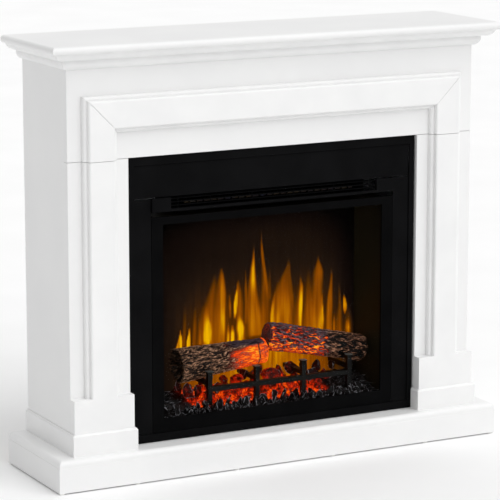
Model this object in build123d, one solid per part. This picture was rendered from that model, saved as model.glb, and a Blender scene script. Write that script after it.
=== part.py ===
"""Electric fireplace: a white mantel surround with a black log-effect insert.

Millimetres. X is across the front, +Y is towards the wall, +Z is up. The origin is on the
floor, under the middle of the whole fireplace.
"""
from build123d import *
import math
import os

# ---- Driving sizes: mantel ----
overall_width = 1150.0
overall_depth = 297.0
overall_height = 1000.0
shelf_overhang = 52.0
base_overhang = 50.0
board = 18.0                      # thickness of the mantel boards
shelf_thickness = 18.0
base_board_thickness = 16.0
base_height = 76.0
foot_height = 3.0
apron_thickness = 16.0
quirk = 1.0                       # how far the base board stands back from the aprons
crown_height = 38.0
opening_half_width = 375.0
opening_top = 739.0
seam = 1.0                        # shadow line between the legs and the frieze
mitre_gap = 0.5

body_half = overall_width / 2 - shelf_overhang
back_y = overall_depth / 2
front_y = -overall_depth / 2 + shelf_overhang
body_top = overall_height - shelf_thickness
crown_bottom = body_top - crown_height
side_inner = body_half - board

# ---- Panel mouldings on the front ----
band_rise = 22.0                  # how far the flat band stands in front of the boards
moulding_width = 15.0
band_outer_x = 473.5
band_inner_x = 420.5
band_outer_z = 868.5
band_inner_z = 815.5
band_y = front_y - band_rise
plinth_top = 203.0
skirting_rise = 6.0
skirting_height = 50.0

# ---- Driving sizes: insert ----
insert_half = 371.0               # outside of the trim flange
insert_bottom = 77.5
insert_top = 737.5
flange_width = 15.0
flange_y = front_y + 6.0
fascia_y = flange_y + 3.0
sheet = 1.5                       # insert sheet steel
casing_half = 366.0
casing_bottom = 80.0
casing_top = 727.5
casing_back = 110.0
header_bottom = 642.0
outlet_half_width = 315.0
slot_half_width = 268.0
slot_bottom = 615.0
rail_bottom = 609.0
window_half_width = 286.0
window_bottom = 128.0
window_top = 579.0
window_frame_top = 597.0
glass_thickness = 4.0
firebox_half = 298.0
screen_y = 63.5
firebox_floor = 96.0
firebox_ceiling = 592.0

flange_inner_x = insert_half - flange_width + 2.0
flange_inner_top = insert_top - flange_width - 4.5
flange_inner_bottom = insert_bottom + flange_width + 3.5

# ---- Screws ----
screw_radius = 1.75
screw_clearance = 0.05
screw_head_radius = 3.6
screw_head_height = 2.2


def block(x, y, z):
    """A box from (low, high) pairs along X, Y and Z."""
    size = (x[1] - x[0], y[1] - y[0], z[1] - z[0])
    centre = ((x[0] + x[1]) / 2, (y[0] + y[1]) / 2, (z[0] + z[1]) / 2)
    return Pos(*centre) * Box(*size)


def mirrored(solid):
    """The solid and its mirror image across the middle of the fireplace."""
    return [solid, mirror(solid, about=Plane.YZ)]


def other_side(solid):
    return mirror(solid, about=Plane.YZ)


def raised(plane, face, amount):
    """The face laid on a plane and extruded along the plane's normal."""
    return extrude(plane * face, amount=amount, dir=plane.z_dir)


def rod(start, end, radius):
    """A round bar from one point to another."""
    start = Vector(*start)
    span = Vector(*end) - start
    return raised(Plane(origin=start, z_dir=span), Circle(radius), span.length)


def prism_plan(points, z):
    """A vertical prism over a plan outline, between two heights."""
    return raised(Plane.XY.offset(z[0]), Polygon(*points, align=None), z[1] - z[0])


def prism_elevation(points, y):
    """A prism from front to back over an outline of (x, z) points."""
    plane = Plane(origin=(0, y[1], 0), x_dir=(1, 0, 0), z_dir=(0, -1, 0))
    return raised(plane, Polygon(*points, align=None), y[1] - y[0])


def eased(solid, radius, chosen):
    """Round the edges whose centre passes the test."""
    edges = [edge for edge in solid.edges() if chosen(edge.center())]
    return fillet(edges, radius)


def save(node, *solids):
    """Write one node, as one solid or a group of separate solids."""
    pieces = []
    for item in solids:
        pieces.extend(item if isinstance(item, (list, tuple)) else [item])
    loose = [solid for piece in pieces for solid in piece.solids()]
    shape = loose[0] if len(loose) == 1 else Compound(children=loose)
    shape.label = node
    export_step(shape, f"parts/{node}.step")


def screw(seat, direction, length):
    """A pan-head screw whose head sits on the seat and whose shank runs along direction."""
    seat = Vector(*seat)
    direction = Vector(*direction).normalized()
    head = rod(seat, seat - direction * screw_head_height, screw_head_radius)
    shank = rod(seat, seat + direction * length, screw_radius)
    return head + shank


def screw_hole(seat, direction, length):
    seat = Vector(*seat)
    direction = Vector(*direction).normalized()
    return rod(seat - direction * 5, seat + direction * (length + 0.5), screw_radius + screw_clearance)


os.makedirs("parts", exist_ok=True)

# ======================= Mantel: base =======================
base_half = overall_width / 2 - shelf_overhang + base_overhang
base_front = front_y - base_overhang
apron_top = base_height - base_board_thickness
apron_z = (foot_height, apron_top)

base_board = block(
    (-base_half + quirk, base_half - quirk), (base_front + quirk, back_y), (apron_top, base_height))
base_board = eased(base_board, 11.0, lambda c: abs(c.Z - base_height) < 0.01 and c.Y < back_y - 1)

front_apron = prism_plan(
    [(-base_half, base_front), (base_half, base_front),
     (base_half - apron_thickness, base_front + apron_thickness),
     (-base_half + apron_thickness, base_front + apron_thickness)], apron_z)
side_apron = prism_plan(
    [(base_half, base_front), (base_half, back_y), (base_half - apron_thickness, back_y),
     (base_half - apron_thickness, base_front + apron_thickness)], apron_z)

rib_width = 16.0
rib_places = (-380.0, -127.0, 127.0, 380.0)
rear_rail = block(
    (-base_half + apron_thickness, base_half - apron_thickness), (back_y - apron_thickness, back_y), apron_z)
base_rails = [rear_rail]
for rib_x in rib_places:
    base_rails.append(block(
        (rib_x - rib_width / 2, rib_x + rib_width / 2),
        (base_front + apron_thickness, back_y - apron_thickness), apron_z))

glides = []
for glide_x in (-base_half + 8, -380.0, -127.0, 127.0, 380.0, base_half - 8):
    for glide_y in (base_front + 8, back_y - 8):
        glides.append(Pos(glide_x, glide_y, foot_height / 2) * Cylinder(7.0, foot_height))

# ======================= Mantel: body boards =======================
side_panel = block((side_inner, body_half), (front_y + board, back_y), (base_height, body_top))

leg_x = (opening_half_width, body_half)
leg_front = block(leg_x, (front_y, front_y + board), (base_height, opening_top - seam / 2))
leg_front = eased(leg_front, 1.5, lambda c: abs(c.Y - front_y) < 0.01 and abs(c.X - body_half) < 0.01)

lining_back = 60.0
jamb = block(
    (opening_half_width, opening_half_width + board), (front_y + board, lining_back),
    (base_height, opening_top))
head_rail = block(
    (-opening_half_width - board, opening_half_width + board), (front_y + board, lining_back),
    (opening_top, opening_top + board))

frieze_board = block((-body_half, body_half), (front_y, front_y + board), (opening_top + seam / 2, body_top))
frieze_board = eased(frieze_board, 1.5, lambda c: abs(c.Y - front_y) < 0.01 and abs(abs(c.X) - body_half) < 0.01)

# ======================= Mantel: flat band and plinth blocks =======================
leg_top = opening_top - seam / 2
frieze_foot = opening_top + seam / 2
plinth_block = block((opening_half_width, body_half), (band_y, front_y), (base_height, plinth_top))
plinth_block = eased(plinth_block, 1.2, lambda c: abs(c.Y - band_y) < 0.01 and abs(c.X - body_half) < 0.01)
leg_band_strip = block((band_inner_x, band_outer_x), (band_y, front_y), (plinth_top, leg_top))
right_leg_band = [plinth_block, leg_band_strip]
left_leg_band = [other_side(piece) for piece in right_leg_band]

frieze_band_top = prism_elevation(
    [(-band_outer_x + mitre_gap, band_outer_z), (band_outer_x - mitre_gap, band_outer_z),
     (band_inner_x - mitre_gap, band_inner_z), (-band_inner_x + mitre_gap, band_inner_z)],
    (band_y, front_y))
frieze_band_end = prism_elevation(
    [(band_outer_x, frieze_foot), (band_outer_x, band_outer_z - mitre_gap),
     (band_inner_x, band_inner_z - mitre_gap), (band_inner_x, frieze_foot)],
    (band_y, front_y))


# ======================= Mantel: stepped mouldings =======================
def stepped_profile():
    """Two round-overs, one above the other, from the board up to the band."""
    low_foot, low_top = 6.0, 12.0
    high_foot, high_top = 17.0, band_rise
    low_radius = low_top - low_foot
    high_radius = high_top - high_foot
    step = 9.0
    lean = math.cos(math.radians(45))
    outline = Line((0, 0), (0, low_foot))
    outline += ThreePointArc(
        (0, low_foot), (low_radius * (1 - lean), low_foot + low_radius * lean), (low_radius, low_top))
    outline += Line((low_radius, low_top), (step, low_top))
    outline += Line((step, low_top), (step, high_foot))
    outline += ThreePointArc(
        (step, high_foot), (step + high_radius * (1 - lean), high_foot + high_radius * lean),
        (step + high_radius, high_top))
    outline += Polyline(
        (step + high_radius, high_top), (moulding_width, high_top), (moulding_width, 0), (0, 0))
    return make_face(outline)


def moulding_strip(start, across, along, length):
    """A length of the stepped moulding: across points from its thin edge to the band."""
    plane = Plane(origin=start, x_dir=across, z_dir=along)
    return raised(plane, stepped_profile(), length)


outer_edge_x = band_outer_x + moulding_width
outer_edge_z = band_outer_z + moulding_width
inner_edge_x = band_inner_x - moulding_width
inner_edge_z = band_inner_z - moulding_width
leg_run = leg_top - plinth_top
down = (0, 0, -1)
up = (0, 0, 1)
to_right = (1, 0, 0)
to_left = (-1, 0, 0)
gap_cut = mitre_gap / 2

leg_outer_strip = moulding_strip((-outer_edge_x, front_y, leg_top), to_right, down, leg_run)
leg_inner_strip = moulding_strip((-inner_edge_x, front_y, plinth_top), to_left, up, leg_run)

outer_mitre_top = prism_elevation(
    [(-outer_edge_x + gap_cut, outer_edge_z), (outer_edge_x - gap_cut, outer_edge_z),
     (band_outer_x - gap_cut, band_outer_z), (-band_outer_x + gap_cut, band_outer_z)],
    (band_y - 1, front_y + 1))
outer_mitre_side = prism_elevation(
    [(-outer_edge_x, frieze_foot), (-outer_edge_x, outer_edge_z - gap_cut),
     (-band_outer_x, band_outer_z - gap_cut), (-band_outer_x, frieze_foot)],
    (band_y - 1, front_y + 1))
inner_mitre_top = prism_elevation(
    [(-band_inner_x + gap_cut, band_inner_z), (band_inner_x - gap_cut, band_inner_z),
     (inner_edge_x - gap_cut, inner_edge_z), (-inner_edge_x + gap_cut, inner_edge_z)],
    (band_y - 1, front_y + 1))
inner_mitre_side = prism_elevation(
    [(-band_inner_x, frieze_foot), (-band_inner_x, band_inner_z - gap_cut),
     (-inner_edge_x, inner_edge_z - gap_cut), (-inner_edge_x, frieze_foot)],
    (band_y - 1, front_y + 1))

long_run = 2 * outer_edge_x
short_run = outer_edge_z - frieze_foot
frieze_outer_top = moulding_strip((outer_edge_x, front_y, outer_edge_z), down, to_left, long_run) & outer_mitre_top
frieze_outer_end = moulding_strip(
    (-outer_edge_x, front_y, outer_edge_z), to_right, down, short_run) & outer_mitre_side
frieze_inner_top = moulding_strip((-band_inner_x, front_y, inner_edge_z), up, to_right, 2 * band_inner_x) & inner_mitre_top
frieze_inner_end = moulding_strip(
    (-inner_edge_x, front_y, frieze_foot), to_left, up, short_run) & inner_mitre_side

# ======================= Mantel: skirting round each leg =======================
def skirting_profile():
    bevel = 4.0
    return Polygon(
        (0, 0), (skirting_rise, 0), (skirting_rise, skirting_height - bevel),
        (skirting_rise - bevel + 1, skirting_height), (0, skirting_height), align=None)


def wrapped_strip(profile, start, outward, along, length, plan):
    """A strip with its profile standing up, cut to a mitred plan outline."""
    plane = Plane(origin=start, x_dir=outward, z_dir=along)
    z_span = (start[2] - 1, start[2] + skirting_height + 10)
    return raised(plane, profile, length) & prism_plan(plan, z_span)


inner_skirt_back = flange_y - 0.5
skirt_front = band_y - skirting_rise
leg_width = body_half - opening_half_width
skirt_front_strip = wrapped_strip(
    skirting_profile(), (body_half + 10, band_y, base_height), (0, -1, 0), to_left, leg_width + 20,
    [(opening_half_width, band_y), (body_half, band_y),
     (body_half + skirting_rise - gap_cut, skirt_front), (opening_half_width - skirting_rise + gap_cut, skirt_front)])
skirt_side_strip = wrapped_strip(
    skirting_profile(), (body_half, back_y, base_height), (1, 0, 0), (0, -1, 0), overall_depth,
    [(body_half, band_y + gap_cut), (body_half + skirting_rise, skirt_front + gap_cut),
     (body_half + skirting_rise, back_y), (body_half, back_y)])
skirt_inner_strip = wrapped_strip(
    skirting_profile(), (opening_half_width, band_y - 20, base_height), (-1, 0, 0), (0, 1, 0), 60,
    [(opening_half_width, band_y + gap_cut), (opening_half_width - skirting_rise, skirt_front + gap_cut),
     (opening_half_width - skirting_rise, inner_skirt_back), (opening_half_width, inner_skirt_back)])


# ======================= Mantel: crown and shelf =======================
def crown_profile():
    """Two stacked round mouldings: a small one on the body and a larger one under the shelf."""
    low_width, low_height = 15.0, 20.0
    fillet_out, fillet_up = 3.0, 3.0
    high_width = 23.0
    high_base = low_height + fillet_up
    high_height = crown_height - high_base
    high_start = low_width + fillet_out
    lean = math.cos(math.radians(45))
    outline = Line((0, 0), (1.5, 0))
    outline += ThreePointArc(
        (1.5, 0), (1.5 + (low_width - 1.5) * lean, low_height * (1 - lean)), (low_width, low_height))
    outline += Polyline((low_width, low_height), (low_width, high_base), (high_start, high_base))
    outline += ThreePointArc(
        (high_start, high_base),
        (high_start + high_width * lean, high_base + high_height * (1 - lean)),
        (high_start + high_width, high_base + high_height))
    outline += Polyline((high_start + high_width, crown_height), (0, crown_height), (0, 0))
    return make_face(outline)


crown_reach = 45.0
crown_z = (crown_bottom - 1, body_top + 1)
crown_front = raised(
    Plane(origin=(body_half + 60, front_y, crown_bottom), x_dir=(0, -1, 0), z_dir=to_left),
    crown_profile(), 2 * body_half + 120)
crown_front &= prism_plan(
    [(-body_half, front_y), (body_half, front_y),
     (body_half + crown_reach - gap_cut, front_y - crown_reach),
     (-body_half - crown_reach + gap_cut, front_y - crown_reach)], crown_z)
crown_left = raised(
    Plane(origin=(-body_half, front_y - 60, crown_bottom), x_dir=to_left, z_dir=(0, 1, 0)),
    crown_profile(), back_y - front_y + 60)
crown_left &= prism_plan(
    [(-body_half, front_y + gap_cut), (-body_half - crown_reach, front_y - crown_reach + gap_cut),
     (-body_half - crown_reach, back_y), (-body_half, back_y)], crown_z)

shelf_half = overall_width / 2
mantel_shelf = block((-shelf_half, shelf_half), (-overall_depth / 2, back_y), (body_top, overall_height))
nose = shelf_thickness / 2 - 0.1
mantel_shelf = eased(mantel_shelf, nose, lambda c: c.Y < back_y - 1 and abs(c.Z - overall_height) < 0.01)
mantel_shelf = eased(mantel_shelf, nose, lambda c: c.Y < back_y - 1 and abs(c.Z - body_top) < 0.01)

# ======================= Mantel: rear rails, wall fixing and bearers =======================
rear_rail_height = 80.0
wall_hole_radius = 3.0
wall_hole_x = 300.0
wall_hole_z = body_top - rear_rail_height / 2
rear_top_rail = block((-side_inner, side_inner), (back_y - board, back_y), (body_top - rear_rail_height, body_top))
for hole_x in (-wall_hole_x, wall_hole_x):
    rear_top_rail -= rod((hole_x, back_y - board - 1, wall_hole_z), (hole_x, back_y + 1, wall_hole_z), wall_hole_radius)
rear_bottom_rail = block(
    (-side_inner, side_inner), (back_y - board, back_y), (base_height, base_height + 60.0))

bearers = mirrored(block((300.0, 340.0), (front_y + 30, 100.0), (base_height, casing_bottom)))

# ======================= Mantel: corner brackets and their screws =======================
bracket_leg = 40.0
bracket_width = 24.0
bracket_plate = 2.0
bracket_screw_reach = 13.0
bracket_places = (0.0, 100.0)
bracket_levels = ((base_height, 1), (body_top, -1))
brackets = []
bracket_screws = []
bracket_holes = []
for place_y in bracket_places:
    for level, rise in bracket_levels:
        z_flat = sorted((level, level + rise * bracket_plate))
        z_tall = sorted((level + rise * bracket_plate, level + rise * bracket_leg))
        y_span = (place_y - bracket_width / 2, place_y + bracket_width / 2)
        bracket = block((side_inner - bracket_leg, side_inner), y_span, z_flat)
        bracket += block((side_inner - bracket_plate, side_inner), y_span, z_tall)
        flat_seat = (side_inner - 25, place_y, level + rise * bracket_plate)
        wall_seat = (side_inner - bracket_plate, place_y, level + rise * 28)
        for seat, aim in ((flat_seat, (0, 0, -rise)), (wall_seat, (1, 0, 0))):
            hole = screw_hole(seat, aim, bracket_screw_reach)
            bracket -= hole
            bracket_holes.extend(mirrored(hole))
            bracket_screws.extend(mirrored(screw(seat, aim, bracket_screw_reach)))
        brackets.extend(mirrored(bracket))

left_side_panel = other_side(side_panel)
for hole in bracket_holes:
    side_panel -= hole
    left_side_panel -= hole
    base_board -= hole
    mantel_shelf -= hole

# ======================= Insert: casing =======================
casing_front = fascia_y + 4.0
casing_floor = block((-casing_half, casing_half), (casing_front, casing_back), (casing_bottom, casing_bottom + sheet))
casing_lid = block((-casing_half, casing_half), (casing_front, casing_back), (casing_top - sheet, casing_top))
casing_side = block(
    (casing_half - sheet, casing_half), (casing_front, casing_back),
    (casing_bottom + sheet, casing_top - sheet))
casing_back_panel = block(
    (-casing_half + sheet, casing_half - sheet), (casing_back - sheet, casing_back),
    (casing_bottom + sheet, casing_top - sheet))
vent_slot = (60.0, 5.0)
for vent_x in (-240.0, -160.0, -80.0, 0.0, 80.0, 160.0, 240.0):
    for vent_row in range(6):
        vent_z = 640.0 + 12.0 * vent_row
        casing_back_panel -= block(
            (vent_x - vent_slot[0] / 2, vent_x + vent_slot[0] / 2), (casing_back - 5, casing_back + 5),
            (vent_z - vent_slot[1] / 2, vent_z + vent_slot[1] / 2))

fixing_reach = 20.0
fixing_screws = []
for fixing_y in (-40.0, 40.0):
    for fixing_z in (160.0, 660.0):
        seat = (casing_half - sheet, fixing_y, fixing_z)
        hole = screw_hole(seat, (1, 0, 0), fixing_reach)
        casing_side -= hole
        jamb -= hole
        fixing_screws.extend(mirrored(screw(seat, (1, 0, 0), fixing_reach)))

# ======================= Insert: trim flange =======================
flange_return = 4.0
flange_face_y = (flange_y, flange_y + sheet)
flange_lip_y = (flange_y + sheet, flange_y + flange_return)
flange_outline_top = [
    (-insert_half, insert_top), (insert_half, insert_top),
    (flange_inner_x, flange_inner_top), (-flange_inner_x, flange_inner_top)]
flange_outline_bottom = [
    (-insert_half, insert_bottom), (-flange_inner_x, flange_inner_bottom),
    (flange_inner_x, flange_inner_bottom), (insert_half, insert_bottom)]
flange_outline_side = [
    (insert_half, insert_bottom), (insert_half, insert_top),
    (flange_inner_x, flange_inner_top), (flange_inner_x, flange_inner_bottom)]
flange_top = prism_elevation(flange_outline_top, flange_face_y)
flange_top += block((-flange_inner_x, flange_inner_x), flange_lip_y, (flange_inner_top, flange_inner_top + sheet))
flange_bottom = prism_elevation(flange_outline_bottom, flange_face_y)
flange_bottom += block(
    (-flange_inner_x, flange_inner_x), flange_lip_y, (flange_inner_bottom - sheet, flange_inner_bottom))
flange_side = prism_elevation(flange_outline_side, flange_face_y)
flange_side += block(
    (flange_inner_x, flange_inner_x + sheet), flange_lip_y, (flange_inner_bottom, flange_inner_top))

# ======================= Insert: header flap, fascias and heater outlet =======================
flap_half = flange_inner_x - 1.0
flap_z = (header_bottom + 1.0, flange_inner_top - 1.0)
flap_pivot = (0.0, fascia_y + 3.0, header_bottom + 3.5)
flap_face = block((-flap_half, flap_half), (fascia_y, fascia_y + sheet), flap_z)
flap_face += block((-flap_half, flap_half), (fascia_y + sheet, fascia_y + 9), (flap_z[1] - sheet, flap_z[1]))
for side_x in ((flap_half - sheet, flap_half), (-flap_half, -flap_half + sheet)):
    flap_face += block(side_x, (fascia_y + sheet, fascia_y + 9), (flap_z[0], flap_z[1] - sheet))
pin_radius = 1.5
pin_play = 0.05
pin_inner = flap_half - 5.0
flap_face -= rod((-flap_half - 5, *flap_pivot[1:]), (flap_half + 5, *flap_pivot[1:]), pin_radius + pin_play)
pin_z = (flap_pivot[2] - 7, flap_pivot[2] + 7)
pin_plate = block(
    (flange_inner_x + 2.0, flange_inner_x + 3.5), (flap_pivot[1] - 3.0, casing_front + 12.0), pin_z)
pin_plate += block(
    (flange_inner_x + 3.5, casing_half - sheet), (casing_front + 10.5, casing_front + 12.0), pin_z)
hinge_pin = rod((pin_inner, *flap_pivot[1:]), (flange_inner_x + 2.0, *flap_pivot[1:]), pin_radius)
hinge_pin = hinge_pin + pin_plate

side_fascia = block(
    (outlet_half_width + 0.5, flange_inner_x - 0.5), (fascia_y, fascia_y + sheet),
    (flange_inner_bottom + 0.5, header_bottom - 1.5))

bezel_y = (fascia_y - 6.0, fascia_y + 2.5)
bezel_top = header_bottom - 1.0
outlet_bezel = block((-outlet_half_width, outlet_half_width), bezel_y, (rail_bottom, bezel_top))
outlet_bezel -= block(
    (-slot_half_width, slot_half_width), (bezel_y[0] - 1, bezel_y[1] + 1), (slot_bottom, bezel_top + 1))
outlet_bezel = eased(
    outlet_bezel, 1.5, lambda c: abs(c.Y - bezel_y[0]) < 0.01 and abs(c.Z - rail_bottom) < 0.01)

grille_y = (bezel_y[1] + 1.0, bezel_y[1] + 2.5)
outlet_grille = []
for blade in range(3):
    blade_z = slot_bottom + 5.0 + 8.0 * blade
    outlet_grille.append(block(
        (-slot_half_width - 10, slot_half_width + 10), (grille_y[0], grille_y[1] + 5), (blade_z, blade_z + 1.2)))
for post in range(6):
    post_x = -slot_half_width + slot_half_width * 2 * post / 5
    outlet_grille.append(block(
        (post_x - 1, post_x + 1), (grille_y[1] + 5.0, grille_y[1] + 6.5), (slot_bottom + 1, bezel_top - 3)))

# ======================= Insert: window frame and glass =======================
frame_y = (fascia_y - 0.5, fascia_y + 5.0)
frame_half = outlet_half_width - 0.5
frame_bottom = flange_inner_bottom + 0.5
window_bars = [
    block((-frame_half, frame_half), frame_y, (window_top, window_frame_top)),
    block((-frame_half, frame_half), frame_y, (frame_bottom, window_bottom))]
window_bars.extend(mirrored(block((window_half_width, frame_half), frame_y, (window_bottom, window_top))))
glass_y = (frame_y[1], frame_y[1] + glass_thickness)
front_glass = block(
    (-window_half_width - 8, window_half_width + 8), glass_y, (window_bottom - 8, window_top + 8))

# ======================= Insert: firebox liner and flame screen =======================
liner = 2.0
liner_y = (glass_y[1] + 0.5, screen_y)
firebox_liner = mirrored(block((firebox_half, firebox_half + liner), liner_y, (firebox_floor, firebox_ceiling)))
firebox_liner.append(block(
    (-firebox_half - liner, firebox_half + liner), liner_y, (firebox_ceiling, firebox_ceiling + liner)))
firebox_liner.append(block(
    (-firebox_half - liner, firebox_half + liner), liner_y, (firebox_floor - liner, firebox_floor)))
screen_thickness = 3.0
flame_screen = block(
    (-firebox_half - liner, firebox_half + liner), (screen_y, screen_y + screen_thickness),
    (firebox_floor - liner, firebox_ceiling + liner))

# ======================= Insert: flame rotor behind the screen =======================
rotor_y = 87.0
rotor_z = 150.0
spindle_radius = 2.5
running_play = 0.05
bracket_x = firebox_half + 8.0
rotor_spindle = rod((-bracket_x - 12, rotor_y, rotor_z), (bracket_x + 6, rotor_y, rotor_z), spindle_radius)
vane_count = 22
vane_pitch = 2 * 270.0 / (vane_count - 1)
vane_size = (14.0, 0.6, 15.0)
rotor_vanes = []
for vane in range(vane_count):
    turn = 47.0 * vane
    plate = Pos(0, 0, spindle_radius + vane_size[2] / 2) * Box(*vane_size)
    rotor_vanes.append(Pos(-270.0 + vane_pitch * vane, rotor_y, rotor_z) * Rot(turn, 0, 0) * plate)
bracket_hole = rod((-400, rotor_y, rotor_z), (400, rotor_y, rotor_z), spindle_radius + running_play)
rotor_bracket = block(
    (bracket_x, bracket_x + 3), (screen_y + 8, casing_back - sheet - 2), (casing_bottom + sheet, rotor_z + 22))
rotor_bracket -= bracket_hole
rotor_brackets = mirrored(rotor_bracket)
rotor_motor = rod((-bracket_x - 3, rotor_y, rotor_z), (-bracket_x - 25, rotor_y, rotor_z), 18.0)
rotor_motor -= rod((-bracket_x - 2, rotor_y, rotor_z), (-bracket_x - 13, rotor_y, rotor_z), spindle_radius + running_play)

# ======================= Insert: fuel bed, light board, logs and grate =======================
bed_front_y = glass_y[1] + 3.0
bed_back_y = screen_y - 3.0
bed_half = firebox_half - 3.0
bed_front_z = 122.0
bed_back_z = 158.0
bed_wall = 3.0
bed_side = Plane(origin=(-bed_half, 0, 0), x_dir=(0, 1, 0), z_dir=(1, 0, 0))
bed_outer = raised(bed_side, Polygon(
    (bed_front_y, firebox_floor), (bed_back_y, firebox_floor), (bed_back_y, bed_back_z),
    (bed_front_y, bed_front_z), align=None), 2 * bed_half)
bed_hollow = raised(bed_side.offset(bed_wall), Polygon(
    (bed_front_y + bed_wall, firebox_floor - 1), (bed_back_y - bed_wall, firebox_floor - 1),
    (bed_back_y - bed_wall, bed_back_z - bed_wall - 1),
    (bed_front_y + bed_wall, bed_front_z - bed_wall), align=None), 2 * (bed_half - bed_wall))
ember_bed = bed_outer - bed_hollow

led_board = block((-240.0, 240.0), (-30.0, 10.0), (firebox_floor, firebox_floor + 1.6))
led_count = 16
for led in range(led_count):
    led_x = -225.0 + 450.0 * led / (led_count - 1)
    led_board += Pos(led_x, -10.0, firebox_floor + 1.6) * Sphere(3.0, arc_size1=0)


def log(left_end, right_end, left_radius, right_radius):
    """A tapered round log between the centres of its two ends."""
    left_end = Vector(*left_end)
    span = Vector(*right_end) - left_end
    middle = Plane(origin=left_end + span * 0.5, z_dir=span)
    return middle * Cone(left_radius, right_radius, span.length)


left_log = log((-208.0, 6.0, 223.0), (16.0, 1.0, 237.5), 41.0, 29.0)
right_log = log((37.0, 22.0, 266.0), (285.0, -4.0, 215.0), 33.0, 31.0)

grate_y = -41.0
grate_bar = 11.0
grate_centre_x = 39.0
post_pitch = 124.0
post_xs = [grate_centre_x + post_pitch * (index - 1.5) for index in range(4)]
grate_bottom = 133.5
rung_z = (178.0, 187.5)
bar_z = (165.0, 177.0)
post_top = 211.0
grate = block(
    (post_xs[0] - grate_bar / 2, post_xs[-1] + grate_bar / 2), (grate_y - grate_bar / 2, grate_y + grate_bar / 2),
    bar_z)
for post_x in post_xs:
    grate += block(
        (post_x - grate_bar / 2, post_x + grate_bar / 2), (grate_y - grate_bar / 2, grate_y + grate_bar / 2),
        (grate_bottom, post_top))
    grate += block(
        (post_x - grate_bar / 2 + 1, post_x + grate_bar / 2 - 1), (grate_y, screen_y - 12), rung_z)
    grate += block(
        (post_x - grate_bar / 2 - 2, post_x + grate_bar / 2 + 2),
        (grate_y - grate_bar / 2 - 2, grate_y + grate_bar / 2 + 2), (post_top, post_top + 3))

# Loose coals lie in two rows along the front of the bed and one behind the grate.
coal_lumps = []
coal_rows = ((-67.0, 8.0, 19), (-54.0, 8.0, 17))
for row_y, coal_size, coal_count in coal_rows:
    slope = (bed_back_z - bed_front_z) / (bed_back_y - bed_front_y)
    for index in range(coal_count):
        coal_x = -262.0 + 524.0 * index / (coal_count - 1)
        coal_z = bed_front_z + slope * (row_y - bed_front_y) + coal_size * 0.75 + 2.5
        turn = Rot(17.0 * index, 31.0 * index, 47.0 * index)
        coal = turn * chamfer(Box(coal_size * 1.6, coal_size, coal_size * 0.9).edges(), coal_size * 0.2)
        coal_lumps.append(Pos(coal_x, row_y, coal_z) * coal)

# ======================= Insert: fan heater behind the outlet =======================
duct_half = 240.0
duct_z = (606.0, 637.0)
duct_back = 46.0
heater_duct = [
    block((-duct_half, duct_half), (grille_y[1] + 8, duct_back), (duct_z[0] - 2, duct_z[0])),
    block((-duct_half, duct_half), (grille_y[1] + 8, -20.0), (duct_z[1], duct_z[1] + 1.5)),
    block((-duct_half, duct_half), (duct_back - 2, duct_back), (duct_z[0], 702.0))]
heater_duct.extend(mirrored(block(
    (duct_half, duct_half + 2), (grille_y[1] + 8, -20.0), (duct_z[0] - 2, duct_z[1] + 1.5))))
heater_duct.extend(mirrored(block((duct_half, duct_half + 2), (-20.0, duct_back), (duct_z[0] - 2, 702.0))))

element_z = 621.5
heating_element = []
for tube_y in (-58.0, -40.0):
    tube = rod((-220.0, tube_y, element_z), (220.0, tube_y, element_z), 3.2)
    for fin in range(24):
        fin_x = -207.0 + 18.0 * fin
        tube += rod((fin_x, tube_y, element_z), (fin_x + 0.8, tube_y, element_z), 8.0)
    heating_element.append(tube)

blower_y = 12.0
blower_z = 664.0
blower_half = 190.0
wheel_radius = 23.0
blade_count = 18
blower_wheel = rod((-duct_half - 1, blower_y, blower_z), (duct_half + 14, blower_y, blower_z), 3.0)
for disc_x in (-blower_half, -blower_half / 3, blower_half / 3, blower_half):
    blower_wheel += rod((disc_x - 1, blower_y, blower_z), (disc_x + 1, blower_y, blower_z), wheel_radius)
for blade in range(blade_count):
    tilt = 360.0 * blade / blade_count
    foil = Pos(0, 0, wheel_radius - 3.0) * Box(2 * blower_half, 1.0, 5.0)
    blower_wheel += Pos(0, blower_y, blower_z) * Rot(tilt, 0, 0) * foil
wheel_hole = rod((-300, blower_y, blower_z), (300, blower_y, blower_z), 3.0 + running_play)
heater_duct = [plate - wheel_hole for plate in heater_duct]
blower_motor = rod((duct_half + 3, blower_y, blower_z), (duct_half + 38, blower_y, blower_z), 26.0)
blower_motor -= rod((duct_half, blower_y, blower_z), (duct_half + 15, blower_y, blower_z), 3.0 + running_play)
for foot_y in (blower_y - 24, blower_y + 14):
    blower_motor += block(
        (duct_half + 8, duct_half + 30), (foot_y, foot_y + 10), (firebox_ceiling + liner + 12, blower_z - 15))

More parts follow.
